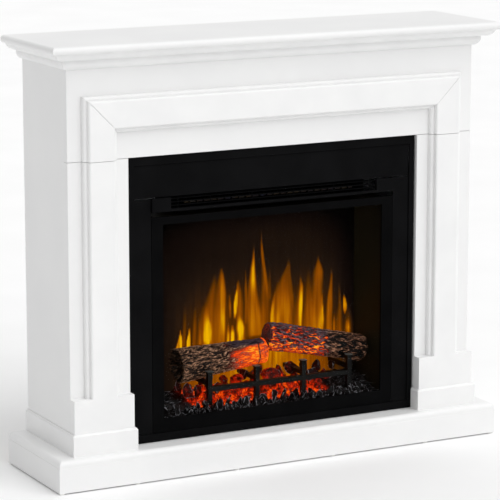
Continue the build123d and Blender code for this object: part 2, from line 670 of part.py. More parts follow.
# ======================= Insert: controls behind the header flap =======================
control_y = (-64.0, -62.0)
control_plate = block(
    (-flange_inner_x + 6, flange_inner_x - 6), control_y, (duct_z[1] + 3, flange_inner_top - 2))
rocker_xs = (150.0, 180.0, 210.0)
knob_xs = (255.0, 305.0)
control_z = 678.0
rocker_size = (18.0, 22.0)
rocker_axis_y = control_y[0] - 1.0
rockers = []
for rocker_x in rocker_xs:
    control_plate -= block(
        (rocker_x - rocker_size[0] / 2 - 0.6, rocker_x + rocker_size[0] / 2 + 0.6),
        (control_y[0] - 1, control_y[1] + 1),
        (control_z - rocker_size[1] / 2 - 1.0, control_z + rocker_size[1] / 2 + 1.0))
    paddle_plane = Plane(origin=(rocker_x - rocker_size[0] / 2, 0, 0), x_dir=(0, 1, 0), z_dir=(1, 0, 0))
    paddle = raised(paddle_plane, Polygon(
        (control_y[0] - 2.5, control_z - rocker_size[1] / 2),
        (control_y[0] - 1.2, control_z),
        (control_y[0] - 2.5, control_z + rocker_size[1] / 2),
        (control_y[1] + 1.0, control_z + rocker_size[1] / 2 - 2.5),
        (control_y[1] + 5.0, control_z),
        (control_y[1] + 1.0, control_z - rocker_size[1] / 2 + 2.5), align=None), rocker_size[0])
    rockers.append(paddle)
knobs = []
for knob_x in knob_xs:
    control_plate -= rod((knob_x, control_y[0] - 1, control_z), (knob_x, control_y[1] + 1, control_z), 3.05)
    knob = rod((knob_x, control_y[0] - 0.4, control_z), (knob_x, control_y[0] - 13.0, control_z), 12.0)
    knob = chamfer(knob.edges().group_by(Axis.Y)[0], 1.5)
    knob += block((knob_x - 1.5, knob_x + 1.5), (control_y[0] - 14.5, control_y[0] - 12.5), (control_z, control_z + 11))
    knob += rod((knob_x, control_y[0] - 1, control_z), (knob_x, control_y[1] + 8, control_z), 3.0)
    knobs.append(knob)

# ======================= Insert: mains inlet on the back =======================
inlet_x = 336.0
inlet_z = 130.0
inlet_open = block(
    (inlet_x - 14, inlet_x + 14), (casing_back - 5, casing_back + 5), (inlet_z - 10, inlet_z + 10))
casing_back_panel -= inlet_open
mains_inlet = block((inlet_x - 20, inlet_x + 20), (casing_back, casing_back + 3), (inlet_z - 14, inlet_z + 14))
mains_inlet += block(
    (inlet_x - 13.5, inlet_x + 13.5), (casing_back - 22, casing_back + 0.5), (inlet_z - 9.5, inlet_z + 9.5))
mains_inlet -= block(
    (inlet_x - 12, inlet_x + 12), (casing_back - 14, casing_back + 5), (inlet_z - 8, inlet_z + 8))
for pin_x, pin_z in ((-7.0, -2.0), (0.0, 2.5), (7.0, -2.0)):
    mains_inlet += block(
        (inlet_x + pin_x - 1, inlet_x + pin_x + 1), (casing_back - 15, casing_back - 2),
        (inlet_z + pin_z - 2, inlet_z + pin_z + 2))

# ======================= Write every node =======================
save("base_board", base_board)
save("base_front_apron", front_apron)
save("base_side_aprons", mirrored(side_apron))
save("base_rails", base_rails)
save("base_glides", glides)
save("right_side_panel", side_panel)
save("left_side_panel", left_side_panel)
save("right_leg_front", leg_front)
save("left_leg_front", other_side(leg_front))
save("opening_lining", mirrored(jamb), head_rail)
save("frieze_board", frieze_board)
save("right_leg_band", right_leg_band)
save("left_leg_band", left_leg_band)
save("frieze_band", frieze_band_top, mirrored(frieze_band_end))
save("leg_mouldings", mirrored(leg_outer_strip), mirrored(leg_inner_strip))
save("frieze_mouldings", frieze_outer_top, mirrored(frieze_outer_end), frieze_inner_top, mirrored(frieze_inner_end))
save("leg_skirtings", mirrored(skirt_front_strip), mirrored(skirt_side_strip), mirrored(skirt_inner_strip))
save("crown_moulding", crown_front, mirrored(crown_left))
save("mantel_shelf", mantel_shelf)
save("rear_rails", rear_top_rail, rear_bottom_rail)
save("corner_brackets", brackets)
save("bracket_screws", bracket_screws)
save("insert_bearers", bearers)
save("casing_floor", casing_floor)
save("casing_lid", casing_lid)
save("casing_sides", mirrored(casing_side))
save("casing_back", casing_back_panel)
save("insert_fixing_screws", fixing_screws)
save("trim_flange", flange_top, flange_bottom, mirrored(flange_side))
save("header_flap", flap_face)
save("flap_hinge_pins", mirrored(hinge_pin))
save("side_fascias", mirrored(side_fascia))
save("outlet_bezel", outlet_bezel)
save("outlet_grille", outlet_grille)
save("window_frame", window_bars)
save("front_glass", front_glass)
save("firebox_liner", firebox_liner)
save("flame_screen", flame_screen)
save("rotor_spindle", rotor_spindle)
save("rotor_vanes", rotor_vanes)
save("rotor_brackets", rotor_brackets)
save("rotor_motor", rotor_motor)
save("led_board", led_board)
save("ember_bed", ember_bed)
save("coal_lumps", coal_lumps)
save("left_log", left_log)
save("right_log", right_log)
save("grate", grate)
save("heater_duct", heater_duct)
save("heating_element", heating_element)
save("blower_wheel", blower_wheel)
save("blower_motor", blower_motor)
save("control_plate", control_plate)
for name, rocker in zip(("flame_switch", "low_heat_switch", "high_heat_switch"), rockers):
    save(name, rocker)
for name, knob in zip(("thermostat_knob", "dimmer_knob"), knobs):
    save(name, knob)
save("mains_inlet", mains_inlet)
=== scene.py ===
import math
import random

import bmesh
import bpy
from mathutils import Matrix, Vector, noise


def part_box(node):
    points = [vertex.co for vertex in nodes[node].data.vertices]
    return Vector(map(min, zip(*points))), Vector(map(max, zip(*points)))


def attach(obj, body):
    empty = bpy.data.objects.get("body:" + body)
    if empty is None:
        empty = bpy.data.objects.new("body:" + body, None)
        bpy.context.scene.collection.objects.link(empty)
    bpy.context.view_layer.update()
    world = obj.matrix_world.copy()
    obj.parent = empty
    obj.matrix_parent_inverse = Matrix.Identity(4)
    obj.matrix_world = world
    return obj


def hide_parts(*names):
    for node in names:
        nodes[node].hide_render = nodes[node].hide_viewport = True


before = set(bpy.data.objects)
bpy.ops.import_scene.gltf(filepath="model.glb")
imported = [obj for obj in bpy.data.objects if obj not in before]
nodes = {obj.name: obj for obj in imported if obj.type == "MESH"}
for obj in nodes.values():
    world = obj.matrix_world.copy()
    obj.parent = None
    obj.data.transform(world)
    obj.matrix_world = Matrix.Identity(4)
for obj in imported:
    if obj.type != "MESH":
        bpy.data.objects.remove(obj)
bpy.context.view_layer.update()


# ---------------------------------------------------------------- Camera
# A long lens at standing height, well back and to the left of the hearth, looking slightly down.
camera = bpy.data.objects.new("camera", bpy.data.cameras.new("camera"))
bpy.context.scene.collection.objects.link(camera)
camera.data.lens = 186.3
camera.data.sensor_width = 36.0
camera.data.clip_end = 100.0
camera.location = (-2.771, -5.2555, 1.652)
camera.rotation_euler = (math.radians(90.0 - 11.16), 0.0, math.radians(-27.64))
bpy.context.scene.camera = camera
bpy.context.scene.view_settings.view_transform = "Standard"


# ---------------------------------------------------------------- Studio
# A pale seamless floor, a white sky that is brighter overhead and to the right, and one broad soft
# key from the right of the front.
def add(tree, kind, inputs=None, **settings):
    """A shader node of that kind. An input is given a value, or the socket that feeds it."""
    made = tree.nodes.new("ShaderNode" + kind)
    for setting, value in settings.items():
        setattr(made, setting, value)
    for socket, value in (inputs or {}).items():
        if isinstance(value, bpy.types.NodeSocket):
            tree.links.new(value, made.inputs[socket])
        else:
            made.inputs[socket].default_value = value
    return made


def new_finish(name):
    """A material with an empty node tree and its output."""
    finish = bpy.data.materials.new(name)
    finish.use_nodes = True
    finish.node_tree.nodes.clear()
    output = add(finish.node_tree, "OutputMaterial")
    return finish, finish.node_tree, output


def ramp(tree, factor, stops):
    """A colour ramp over factor. A stop is a place from 0 to 1 and a colour or a grey."""
    made = add(tree, "ValToRGB", {"Fac": factor})
    elements = made.color_ramp.elements
    while len(elements) < len(stops):
        elements.new(0.5)
    for element, (place, colour) in zip(elements, stops):
        element.position = place
        element.color = (colour, colour, colour, 1.0) if isinstance(colour, float) else (*colour, 1.0)
    return made.outputs["Color"]


def pattern(tree, scale, detail=2.0, stretch=(1.0, 1.0, 1.0), kind="TexNoise", **inputs):
    """A noise or cell pattern fixed to the piece, with scale in features per metre."""
    place = add(tree, "TexCoord").outputs["Object"]
    place = add(tree, "Mapping", {"Vector": place, "Scale": stretch}).outputs["Vector"]
    wanted = {"Vector": place, "Scale": scale}
    if kind == "TexNoise":
        wanted["Detail"] = detail
    wanted.update(inputs)
    made = add(tree, kind, wanted)
    return made.outputs["Fac"] if kind == "TexNoise" else made.outputs["Distance"]


def relief(tree, height, depth, strength=1.0, under=None):
    """A bump of that depth in metres, over another bump if one is given."""
    wanted = {"Height": height, "Distance": depth, "Strength": strength}
    if under is not None:
        wanted["Normal"] = under
    return add(tree, "Bump", wanted).outputs["Normal"]


def coat(tree, output, inputs):
    """The finish's surface, made by a principled shader with these inputs."""
    shader = add(tree, "BsdfPrincipled", inputs)
    tree.links.new(shader.outputs["BSDF"], output.inputs["Surface"])


floor_finish, tree, output = new_finish("studio_floor")
paper = pattern(tree, 3.0)
coat(tree, output, {
    "Base Color": ramp(tree, paper, ((0.3, 0.94), (0.7, 0.96))),
    "Roughness": ramp(tree, paper, ((0.3, 0.80), (0.7, 0.90))),
    "Specular IOR Level": 0.1,
})
floor_mesh = bpy.data.meshes.new("studio_floor")
sheet = bmesh.new()
bmesh.ops.create_grid(sheet, x_segments=8, y_segments=8, size=40.0)
sheet.to_mesh(floor_mesh)
sheet.free()
floor_mesh.materials.append(floor_finish)
floor = bpy.data.objects.new("studio_floor", floor_mesh)
bpy.context.scene.collection.objects.link(floor)

sky = bpy.data.worlds.new("studio_sky")
sky.use_nodes = True
sky.node_tree.nodes["Background"].inputs["Color"].default_value = (1.0, 1.0, 1.0, 1.0)
sky_base = 0.60
sky_gain_right = 0.20
sky_gain_up = 0.21
sky_way = add(sky.node_tree, "SeparateXYZ", {"Vector": add(sky.node_tree, "TexCoord").outputs["Generated"]})
sky_side = add(
    sky.node_tree, "Math", {0: sky_way.outputs["X"], 1: sky_gain_right, 2: sky_base}, operation="MULTIPLY_ADD")
sky_level = add(
    sky.node_tree, "Math", {0: sky_way.outputs["Z"], 1: sky_gain_up, 2: sky_side.outputs[0]},
    operation="MULTIPLY_ADD")
sky.node_tree.links.new(sky_level.outputs[0], sky.node_tree.nodes["Background"].inputs["Strength"])
bpy.context.scene.world = sky

key = bpy.data.objects.new("key_light", bpy.data.lights.new("key_light", "SUN"))
bpy.context.scene.collection.objects.link(key)
key.data.energy = 1.27
key.data.angle = math.radians(58.0)
key.rotation_euler = Vector((0.31, -0.60, 0.74)).to_track_quat("Z", "Y").to_euler()


# ---------------------------------------------------------------- Mantel boards
# Fibreboard panels sprayed with satin white lacquer: base, legs, frieze, lining, sides and shelf.
# The lacquer has a faint orange peel and slightly uneven gloss.
def plain_finish(name, dark, light, grain, rough, peel, depth, stretch=(1.0, 1.0, 1.0), **constants):
    """A finish whose colour and gloss drift over a coarse grain, with a fine relief on top."""
    finish, tree, output = new_finish(name)
    drift = pattern(tree, grain, 3.0, stretch)
    fine = pattern(tree, peel, 2.0, stretch)
    inputs = {
        "Base Color": ramp(tree, drift, ((0.35, dark), (0.65, light))),
        "Roughness": ramp(tree, fine, ((0.3, rough[0]), (0.7, rough[1]))),
        "Normal": relief(tree, fine, depth),
    }
    inputs.update({socket.replace("_", " "): value for socket, value in constants.items()})
    coat(tree, output, inputs)
    return finish


def paint(finish, *names):
    """The finish goes on these CAD nodes."""
    for name in names:
        nodes[name].data.materials.clear()
        nodes[name].data.materials.append(finish)


lacquer = plain_finish(
    "white_lacquer", (0.825, 0.825, 0.825), (0.850, 0.850, 0.847), 5.0, (0.34, 0.44), 420.0, 0.00004,
    Specular_IOR_Level=0.35)
paint(
    lacquer, "base_board", "base_front_apron", "base_side_aprons", "right_side_panel", "left_side_panel",
    "right_leg_front", "left_leg_front", "opening_lining", "frieze_board", "mantel_shelf")

# ---------------------------------------------------------------- Bands, mouldings and skirtings
# Solid strips mitred at the corners and glued on, sprayed with the same lacquer. The spray builds
# up a little in their hollows, so they are a touch glossier and their relief is finer.
moulding_lacquer = plain_finish(
    "moulding_lacquer", (0.83, 0.83, 0.83), (0.865, 0.865, 0.862), 9.0, (0.30, 0.40), 600.0, 0.00003,
    Specular_IOR_Level=0.38)
paint(
    moulding_lacquer, "right_leg_band", "left_leg_band", "frieze_band", "leg_mouldings", "frieze_mouldings",
    "leg_skirtings", "crown_moulding")


# ---------------------------------------------------------------- Bare board inside and behind
# Rails and bearers of bare fibreboard, screwed and glued behind the panels. Short fibres show on
# the faces and the board fades unevenly.
board_finish, tree, output = new_finish("raw_board")
fibre = pattern(tree, 900.0, 4.0, (1.0, 3.0, 1.0))
fade = pattern(tree, 12.0, 3.0)
fleck = pattern(tree, 1700.0, 1.0, (1.0, 4.0, 2.0))
fibre_colour = ramp(tree, fibre, ((0.30, (0.33, 0.21, 0.12)), (0.70, (0.56, 0.40, 0.26))))
fade_colour = ramp(tree, fade, ((0.3, (0.86, 0.84, 0.80)), (0.7, (1.0, 1.0, 1.0))))
tint = add(
    tree, "Mix", {"Factor": 1.0, 6: fibre_colour, 7: fade_colour}, data_type="RGBA", blend_type="MULTIPLY")
coat(tree, output, {
    "Base Color": tint.outputs[2],
    "Roughness": ramp(tree, fibre, ((0.2, 0.78), (0.8, 0.93))),
    "Specular IOR Level": 0.2,
    "Normal": relief(tree, fleck, 0.00012),
})
paint(board_finish, "base_rails", "rear_rails", "insert_bearers")

# ---------------------------------------------------------------- Glides, brackets and screws
# Nylon glides nailed under the base, and pressed brackets and screws in bright zinc plate.
nylon = plain_finish(
    "glide_nylon", (0.66, 0.66, 0.63), (0.76, 0.76, 0.73), 60.0, (0.40, 0.55), 900.0, 0.00005,
    Subsurface_Weight=0.1)
nylon.node_tree.nodes["Principled BSDF"].inputs["Subsurface Radius"].default_value = (0.004, 0.004, 0.003)
paint(nylon, "base_glides")
zinc = plain_finish(
    "zinc_steel", (0.50, 0.51, 0.52), (0.70, 0.70, 0.68), 90.0, (0.22, 0.42), 1400.0, 0.00003, Metallic=1.0)
paint(zinc, "corner_brackets", "bracket_screws", "insert_fixing_screws", "flap_hinge_pins", "rotor_brackets")

# ---------------------------------------------------------------- Casing
# Folded galvanised sheet around the insert. The zinc coat shows as a mosaic of grey crystals.
casing_finish, tree, output = new_finish("casing_steel")
crystal = add(tree, "TexVoronoi", {
    "Vector": add(tree, "TexCoord").outputs["Object"], "Scale": 150.0, "Randomness": 1.0})
crystal_shade = add(tree, "SeparateColor", {"Color": crystal.outputs["Color"]}).outputs["Red"]
scuff = pattern(tree, 260.0, 4.0, (1.0, 1.0, 0.15))
coat(tree, output, {
    "Base Color": ramp(tree, crystal_shade, ((0.0, (0.42, 0.43, 0.44)), (1.0, (0.54, 0.55, 0.56)))),
    "Metallic": 0.9,
    "Roughness": ramp(tree, crystal_shade, ((0.0, 0.34), (1.0, 0.56))),
    "Normal": relief(tree, scuff, 0.00003),
})
paint(casing_finish, "casing_floor", "casing_lid", "casing_sides", "casing_back")

# ---------------------------------------------------------------- Black front of the insert
# Pressed steel trims in a matt black powder coat with a fine even texture: flange, flap,
# fascias, bezel, grille, duct and the plate behind the flap. The window frame's coat is darker.
powder_coat = plain_finish(
    "black_powder_coat", (0.0034, 0.0034, 0.0037), (0.0048, 0.0048, 0.0052), 14.0, (0.50, 0.66), 1500.0,
    0.00003, Specular_IOR_Level=0.025)
paint(
    powder_coat, "trim_flange", "header_flap", "side_fascias", "outlet_bezel", "outlet_grille",
    "control_plate", "heater_duct")
frame_coat = plain_finish(
    "black_frame_coat", (0.0018, 0.0018, 0.0020), (0.0028, 0.0028, 0.0030), 14.0, (0.54, 0.68), 1500.0,
    0.00003, Specular_IOR_Level=0.02)
paint(frame_coat, "window_frame")

# ---------------------------------------------------------------- Window
# One clear toughened pane held behind the frame. Most light goes through, and a weak mirror image
# lies on its face.
glass_finish, tree, output = new_finish("window_glass")
waver = pattern(tree, 6.0, 1.0)
pane_face = relief(tree, waver, 0.0002)
pane_mirror = add(tree, "BsdfAnisotropic", {
    "Color": (1.0, 1.0, 1.0, 1.0), "Roughness": ramp(tree, waver, ((0.3, 0.02), (0.7, 0.05))),
    "Normal": pane_face})
pane_clear = add(tree, "BsdfTransparent", {"Color": (0.97, 0.98, 0.975, 1.0)})
pane_gloss = add(tree, "Fresnel", {"IOR": 1.04, "Normal": pane_face})
pane = add(tree, "MixShader", {
    "Fac": pane_gloss.outputs["Fac"], 1: pane_clear.outputs["BSDF"], 2: pane_mirror.outputs["BSDF"]})
tree.links.new(pane.outputs["Shader"], output.inputs["Surface"])
paint(glass_finish, "front_glass")

# ---------------------------------------------------------------- Firebox liner and flame screen
# A folded liner in dark brown heat paint, closed at the back by a smoked diffusing screen.
liner_finish = plain_finish(
    "liner_paint", (0.010, 0.0075, 0.0030), (0.018, 0.0130, 0.0045), 7.0, (0.42, 0.60), 700.0, 0.00006,
    (1.0, 1.0, 0.3), Specular_IOR_Level=0.10)
paint(liner_finish, "firebox_liner")
screen_finish = plain_finish(
    "flame_screen", (0.010, 0.007, 0.005), (0.016, 0.010, 0.007), 10.0, (0.32, 0.42), 500.0, 0.00002,
    Specular_IOR_Level=0.3)
paint(screen_finish, "flame_screen")


# ---------------------------------------------------------------- Flame picture
# The lit image that the turning vanes throw on the screen: separate licks of flame that are bright
# amber at the heart and brown at the tips, on a dim brown haze. It is a thin film on the screen.
def smooth_step(low, high, value):
    """0 below low, 1 above high, and a smooth rise between them. High may be the smaller one."""
    share = min(max((value - low) / (high - low), 0.0), 1.0)
    return share * share * (3.0 - 2.0 * share)


def carried(tree, name):
    """The value that a mesh carries under that name."""
    return add(tree, "Attribute", attribute_name=name).outputs["Fac"]


def uneven(tree, heat, grain, gain):
    """The heat, raised where the grain is over a half and lowered where it is under."""
    lift = add(tree, "Math", {0: grain, 1: 0.5}, operation="SUBTRACT").outputs[0]
    share = add(tree, "Math", {0: lift, 1: heat}, operation="MULTIPLY").outputs[0]
    return add(tree, "Math", {0: share, 1: gain, 2: heat}, operation="MULTIPLY_ADD").outputs[0]


# A lick is how soft its left and right edges are, then its line from the fire up to the tip:
# across and height in mm, half width in mm, and heat.
licks = (
    (0.30, 0.30, ((-176, 240, 9.9, 0.95), (-171, 267, 6.2, 1.0), (-170, 281, 2.6, 0.9),
                  (-170, 292, 0.8, 0.5))),
    (0.35, 0.35, ((-150, 236, 6.8, 0.9), (-149, 264, 5.2, 0.95), (-147, 281, 2.6, 0.75),
                  (-146, 299, 0.8, 0.35))),
    (0.90, 0.90, ((-162, 249, 5.0, 0.3), (-159, 304, 4.7, 0.22), (-158, 357, 3.6, 0.05))),
    (0.90, 0.90, ((-136, 246, 5.8, 0.34), (-133, 301, 5.2, 0.26), (-132, 342, 3.7, 0.06))),
    (0.90, 0.90, ((-120, 249, 6.9, 0.4), (-116, 300, 6.5, 0.3), (-110, 345, 4.8, 0.08))),
    (0.45, 0.45, ((-100, 240, 6.9, 0.3), (-100, 261, 11.6, 0.85), (-100, 278, 12.4, 0.95),
                  (-100, 298, 11.4, 0.8),
                  (-101, 320, 9.0, 0.5), (-99, 339, 6.9, 0.22))),
    (0.85, 0.85, ((-100, 240, 16.3, 0.4), (-99, 310, 15.8, 0.4), (-93, 340, 13.1, 0.42),
                  (-88, 366, 11.1, 0.38),
                  (-82, 392, 7.9, 0.26), (-79, 418, 4.8, 0.06))),
    (0.95, 0.95, ((-76, 240, 23.9, 0.3), (-71, 326, 21.2, 0.28), (-66, 388, 15.8, 0.14),
                  (-63, 436, 7.9, 0.03))),
    (0.75, 0.30, ((-63, 245, 10.6, 0.45), (-62, 294, 10.1, 0.5), (-61, 337, 11.1, 0.5), (-62, 369, 12.7, 0.5),
                  (-63, 395, 10.6, 0.5), (-62, 414, 6.7, 0.44), (-62, 431, 2.1, 0.2))),
    (0.65, 0.30, ((-59, 250, 6.9, 0.2), (-58, 281, 7.4, 0.42), (-57, 310, 5.9, 0.5), (-56, 334, 3.4, 0.4),
                  (-57, 356, 1.3, 0.08))),
    (0.50, 0.50, ((-38, 306, 2.6, 0.22), (-39, 337, 3.4, 0.42), (-41, 364, 1.4, 0.25))),
    (0.60, 0.60, ((-45, 240, 4.8, 0.75), (-44, 270, 4.8, 0.62), (-44, 292, 2.1, 0.2))),
    (0.50, 0.50, ((-32, 240, 6.1, 0.75), (-32, 271, 5.6, 0.7), (-33, 291, 2.4, 0.24))),
    (0.22, 0.55, ((-26, 303, 1.3, 0.4), (-25, 319, 4.5, 0.8), (-24, 338, 5.8, 0.95), (-22, 357, 4.8, 0.85),
                  (-19, 376, 3.5, 0.5), (-18, 397, 1.3, 0.2))),
    (0.80, 0.70, ((-15, 298, 8.6, 0.42), (-14, 337, 8.0, 0.42), (-14, 369, 5.8, 0.34), (-17, 396, 2.7, 0.1))),
    (0.45, 0.45, ((-10, 236, 10.2, 0.45), (-10, 262, 9.1, 0.7), (-11, 281, 11.2, 0.85), (-13, 298, 8.3, 0.72),
                  (-15, 313, 3.8, 0.3))),
    (0.50, 0.50, ((4, 287, 4.8, 0.25), (4, 336, 4.0, 0.36), (3, 377, 3.4, 0.42), (3, 420, 1.4, 0.15))),
    (0.70, 0.45, ((29, 255, 22.9, 0.38), (25, 304, 21.5, 0.44), (22, 334, 16.6, 0.48), (21, 365, 11.8, 0.56),
                  (21, 394, 9.4, 0.66), (22, 423, 6.2, 0.66), (24, 447, 3.2, 0.54), (24, 467, 1.5, 0.28),
                  (24, 486, 1.1, 0.03))),
    (0.80, 0.80, ((49, 270, 13.5, 0.2), (56, 342, 10.8, 0.22), (55, 384, 8.6, 0.34), (51, 416, 6.4, 0.3),
                  (48, 445, 4.3, 0.15))),
    (0.45, 0.40, ((60, 344, 2.2, 0.16), (59, 366, 3.2, 0.42), (55, 401, 4.3, 0.46), (50, 433, 4.3, 0.5),
                  (47, 460, 3.8, 0.52), (45, 482, 2.4, 0.44), (45, 498, 1.5, 0.26), (45, 517, 1.1, 0.03))),
    (0.90, 0.90, ((66, 341, 4.8, 0.24), (67, 378, 3.8, 0.2), (68, 419, 2.7, 0.05))),
    (0.30, 0.60, ((76, 270, 8.6, 0.62), (75, 306, 6.2, 0.72), (77, 328, 5.1, 0.66), (80, 347, 3.8, 0.4),
                  (84, 366, 2.7, 0.1))),
    (0.80, 0.80, ((90, 265, 12.5, 0.45), (89, 302, 11.4, 0.4), (91, 322, 8.1, 0.14))),
    (0.55, 0.25, ((100, 255, 28.5, 0.36), (100, 308, 29.9, 0.38), (103, 345, 26.1, 0.38),
                  (108, 376, 19.6, 0.36),
                  (113, 400, 11.4, 0.34), (118, 422, 4.9, 0.32), (118, 440, 1.6, 0.06))),
    (0.60, 0.25, ((129, 306, 3.8, 0.1), (128, 338, 4.1, 0.26), (124, 370, 4.1, 0.3), (120, 399, 3.2, 0.3),
                  (119, 428, 1.9, 0.16))),
    (0.55, 0.25, ((150, 250, 4.1, 0.5), (150, 296, 5.8, 0.6), (151, 325, 6.5, 0.66), (152, 350, 6.0, 0.62),
                  (153, 367, 5.0, 0.52), (151, 380, 3.0, 0.3), (150, 394, 1.4, 0.06))),
    (0.95, 0.95, ((142, 255, 11.0, 0.3), (144, 321, 8.2, 0.18), (147, 370, 5.5, 0.04))),
    (0.95, 0.95, ((168, 250, 12.4, 0.34), (172, 311, 9.3, 0.26), (174, 360, 7.2, 0.18),
                  (174, 406, 5.0, 0.03))),
    (0.75, 0.40, ((186, 245, 27.5, 0.44), (187, 295, 24.8, 0.42), (190, 326, 20.4, 0.4),
                  (194, 353, 16.0, 0.38),
                  (198, 377, 14.3, 0.4), (200, 397, 13.2, 0.44), (200, 414, 7.7, 0.42), (199, 427, 2.8, 0.3),
                  (199, 440, 1.1, 0.04))),
    (0.75, 0.15, ((204, 245, 10.0, 0.48), (207, 278, 9.4, 0.6), (208, 300, 6.6, 0.62), (207, 327, 4.4, 0.5),
                  (206, 354, 2.8, 0.32), (205, 380, 1.9, 0.04))),
    (0.45, 0.40, ((231, 235, 9.4, 0.42), (230, 278, 8.6, 0.42), (231, 310, 8.1, 0.46), (232, 334, 6.7, 0.46),
                  (234, 359, 4.5, 0.38), (236, 383, 3.0, 0.3), (235, 406, 1.4, 0.05))),
    (0.60, 0.60, ((244, 235, 3.9, 0.55), (244, 269, 3.6, 0.5), (244, 289, 2.0, 0.1))),
    (0.80, 0.60, ((255, 235, 15.3, 0.34), (258, 277, 11.2, 0.28), (260, 307, 6.1, 0.28),
                  (259, 332, 3.9, 0.26),
                  (257, 354, 2.5, 0.16), (256, 372, 1.1, 0.03))),
    (0.22, 0.30, ((273, 282, 1.4, 0.3), (274, 296, 4.5, 0.85), (274, 310, 5.5, 0.95), (272, 326, 3.4, 0.72),
                  (271, 335, 1.2, 0.2))),
    (0.45, 0.45, ((283, 230, 6.7, 0.45), (282, 252, 8.4, 0.62), (281, 266, 6.2, 0.5), (280, 277, 2.8, 0.1))),
    (0.70, 0.70, ((282, 226, 17.9, 0.38), (283, 262, 15.1, 0.34), (281, 292, 10.1, 0.2),
                  (277, 322, 5.5, 0.04))),
    (0.70, 0.70, ((262, 232, 6.7, 0.4), (262, 259, 3.9, 0.1))),
)


def lick_heat(lick, across, height):
    """The heat that one lick gives a place on the screen, both in mm."""
    left_soft, right_soft, line = lick
    if not line[0][1] <= height <= line[-1][1]:
        return 0.0
    for lower, upper in zip(line, line[1:]):
        if height <= upper[1]:
            break
    share = (height - lower[1]) / (upper[1] - lower[1])
    middle, half, heat = (lower[k] + (upper[k] - lower[k]) * share for k in (0, 2, 3))
    offset = (across - middle) / half
    soft = min(1.0, 1.35 * (left_soft if offset < 0.0 else right_soft))
    return heat * smooth_step(1.0 + 0.55 * soft, 1.0 - soft, abs(offset)) * smooth_step(
        line[0][1], line[0][1] + 6.0, height)


screen_low, screen_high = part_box("flame_screen")
film = bmesh.new()
bmesh.ops.create_grid(film, x_segments=240, y_segments=200, size=0.5)
bmesh.ops.scale(film, verts=film.verts, vec=(screen_high.x - screen_low.x, screen_high.z - screen_low.z, 1.0))
bmesh.ops.rotate(film, verts=film.verts, matrix=Matrix.Rotation(math.radians(90.0), 3, "X"))
bmesh.ops.translate(
    film, verts=film.verts, vec=(0.0, screen_low.y - 0.0004, (screen_low.z + screen_high.z) / 2.0))
rim = [edge for edge in film.edges if edge.is_boundary]
backing = bmesh.ops.extrude_edge_only(film, edges=rim)["geom"]
bmesh.ops.translate(
    film, verts=[part for part in backing if isinstance(part, bmesh.types.BMVert)], vec=(0.0, 0.0003, 0.0))
bmesh.ops.holes_fill(film, edges=[edge for edge in film.edges if edge.is_boundary], sides=0)
bmesh.ops.recalc_face_normals(film, faces=film.faces)
heat_layer = film.verts.layers.float.new("glow_heat")
for vertex in film.verts:
    across = vertex.co.x * 1000.0
    height = vertex.co.z * 1000.0
    heat = sum(lick_heat(lick, across, height) ** 3 for lick in licks) ** (1.0 / 3.0)
    corner = max(abs(across - 10.0) / 290.0, 0.0) ** 4 + max((height - 300.0) / 262.0, 0.0) ** 4
    haze = 0.115 * smooth_step(1.15, 0.20, corner)
    haze *= 0.62 + 0.38 * smooth_step(330.0, 60.0, abs(across - 90.0))
    low_haze = 0.22 * smooth_step(470.0, 265.0, height) * smooth_step(290.0, 130.0, abs(across - 40.0))
    below = smooth_step(238.0, 222.0, height) * smooth_step(-75.0, -20.0, across)
    below *= 0.14 + 0.28 * smooth_step(38.0, 60.0, across)
    below *= 1.0 - 0.45 * smooth_step(140.0, 205.0, across) - 0.32 * smooth_step(205.0, 250.0, across)
    below *= smooth_step(296.0, 280.0, across)
    below *= 1.0 + 0.55 * noise.noise(Vector((across / 7.0, height / 60.0, 0.0)))
    under_left = 0.26 * smooth_step(238.0, 222.0, height) * smooth_step(-185.0, -150.0, across)
    under_left *= smooth_step(40.0, -20.0, across)
    heat *= 0.80 + 0.20 * smooth_step(0.45, 0.80, heat)
    heat *= 0.96 + 0.50 * noise.noise(Vector((across / 14.0, height / 90.0, 40.0)))
    heat *= smooth_step(222.0, 240.0, height)
    heat += haze + low_haze * (1.0 - below) + below + under_left
    vertex[heat_layer] = min(heat, 1.0)
film_mesh = bpy.data.meshes.new("flame_picture")
film.to_mesh(film_mesh)
film.free()
film_finish, tree, output = new_finish("flame_light")
heat = carried(tree, "glow_heat")
strand = pattern(tree, 150.0, 4.0, (1.0, 1.0, 0.06))
flame_colour = ramp(tree, uneven(tree, heat, strand, 0.75), (
    (0.0, (0.0, 0.0, 0.0)), (0.08, (0.0055, 0.0026, 0.0018)), (0.14, (0.0125, 0.0060, 0.0032)),
    (0.20, (0.0252, 0.0100, 0.0034)), (0.28, (0.060, 0.0180, 0.0010)), (0.38, (0.133, 0.0330, 0.0)),
    (0.50, (0.235, 0.0560, 0.0)), (0.60, (0.33, 0.083, 0.0)), (0.75, (0.52, 0.168, 0.0)),
    (0.88, (0.70, 0.31, 0.0)), (1.0, (0.88, 0.46, 0.0))))
coat(tree, output, {
    "Base Color": (0.002, 0.0014, 0.001, 1.0),
    "Roughness": ramp(tree, strand, ((0.3, 0.36), (0.7, 0.46))),
    "Specular IOR Level": 0.0,
    "Emission Color": flame_colour,
    "Emission Strength": 1.0,
    "Normal": relief(tree, strand, 0.00002),
})
film_mesh.materials.append(film_finish)
flame_picture = bpy.data.objects.new("flame_picture", film_mesh)
bpy.context.scene.collection.objects.link(flame_picture)
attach(flame_picture, "root")

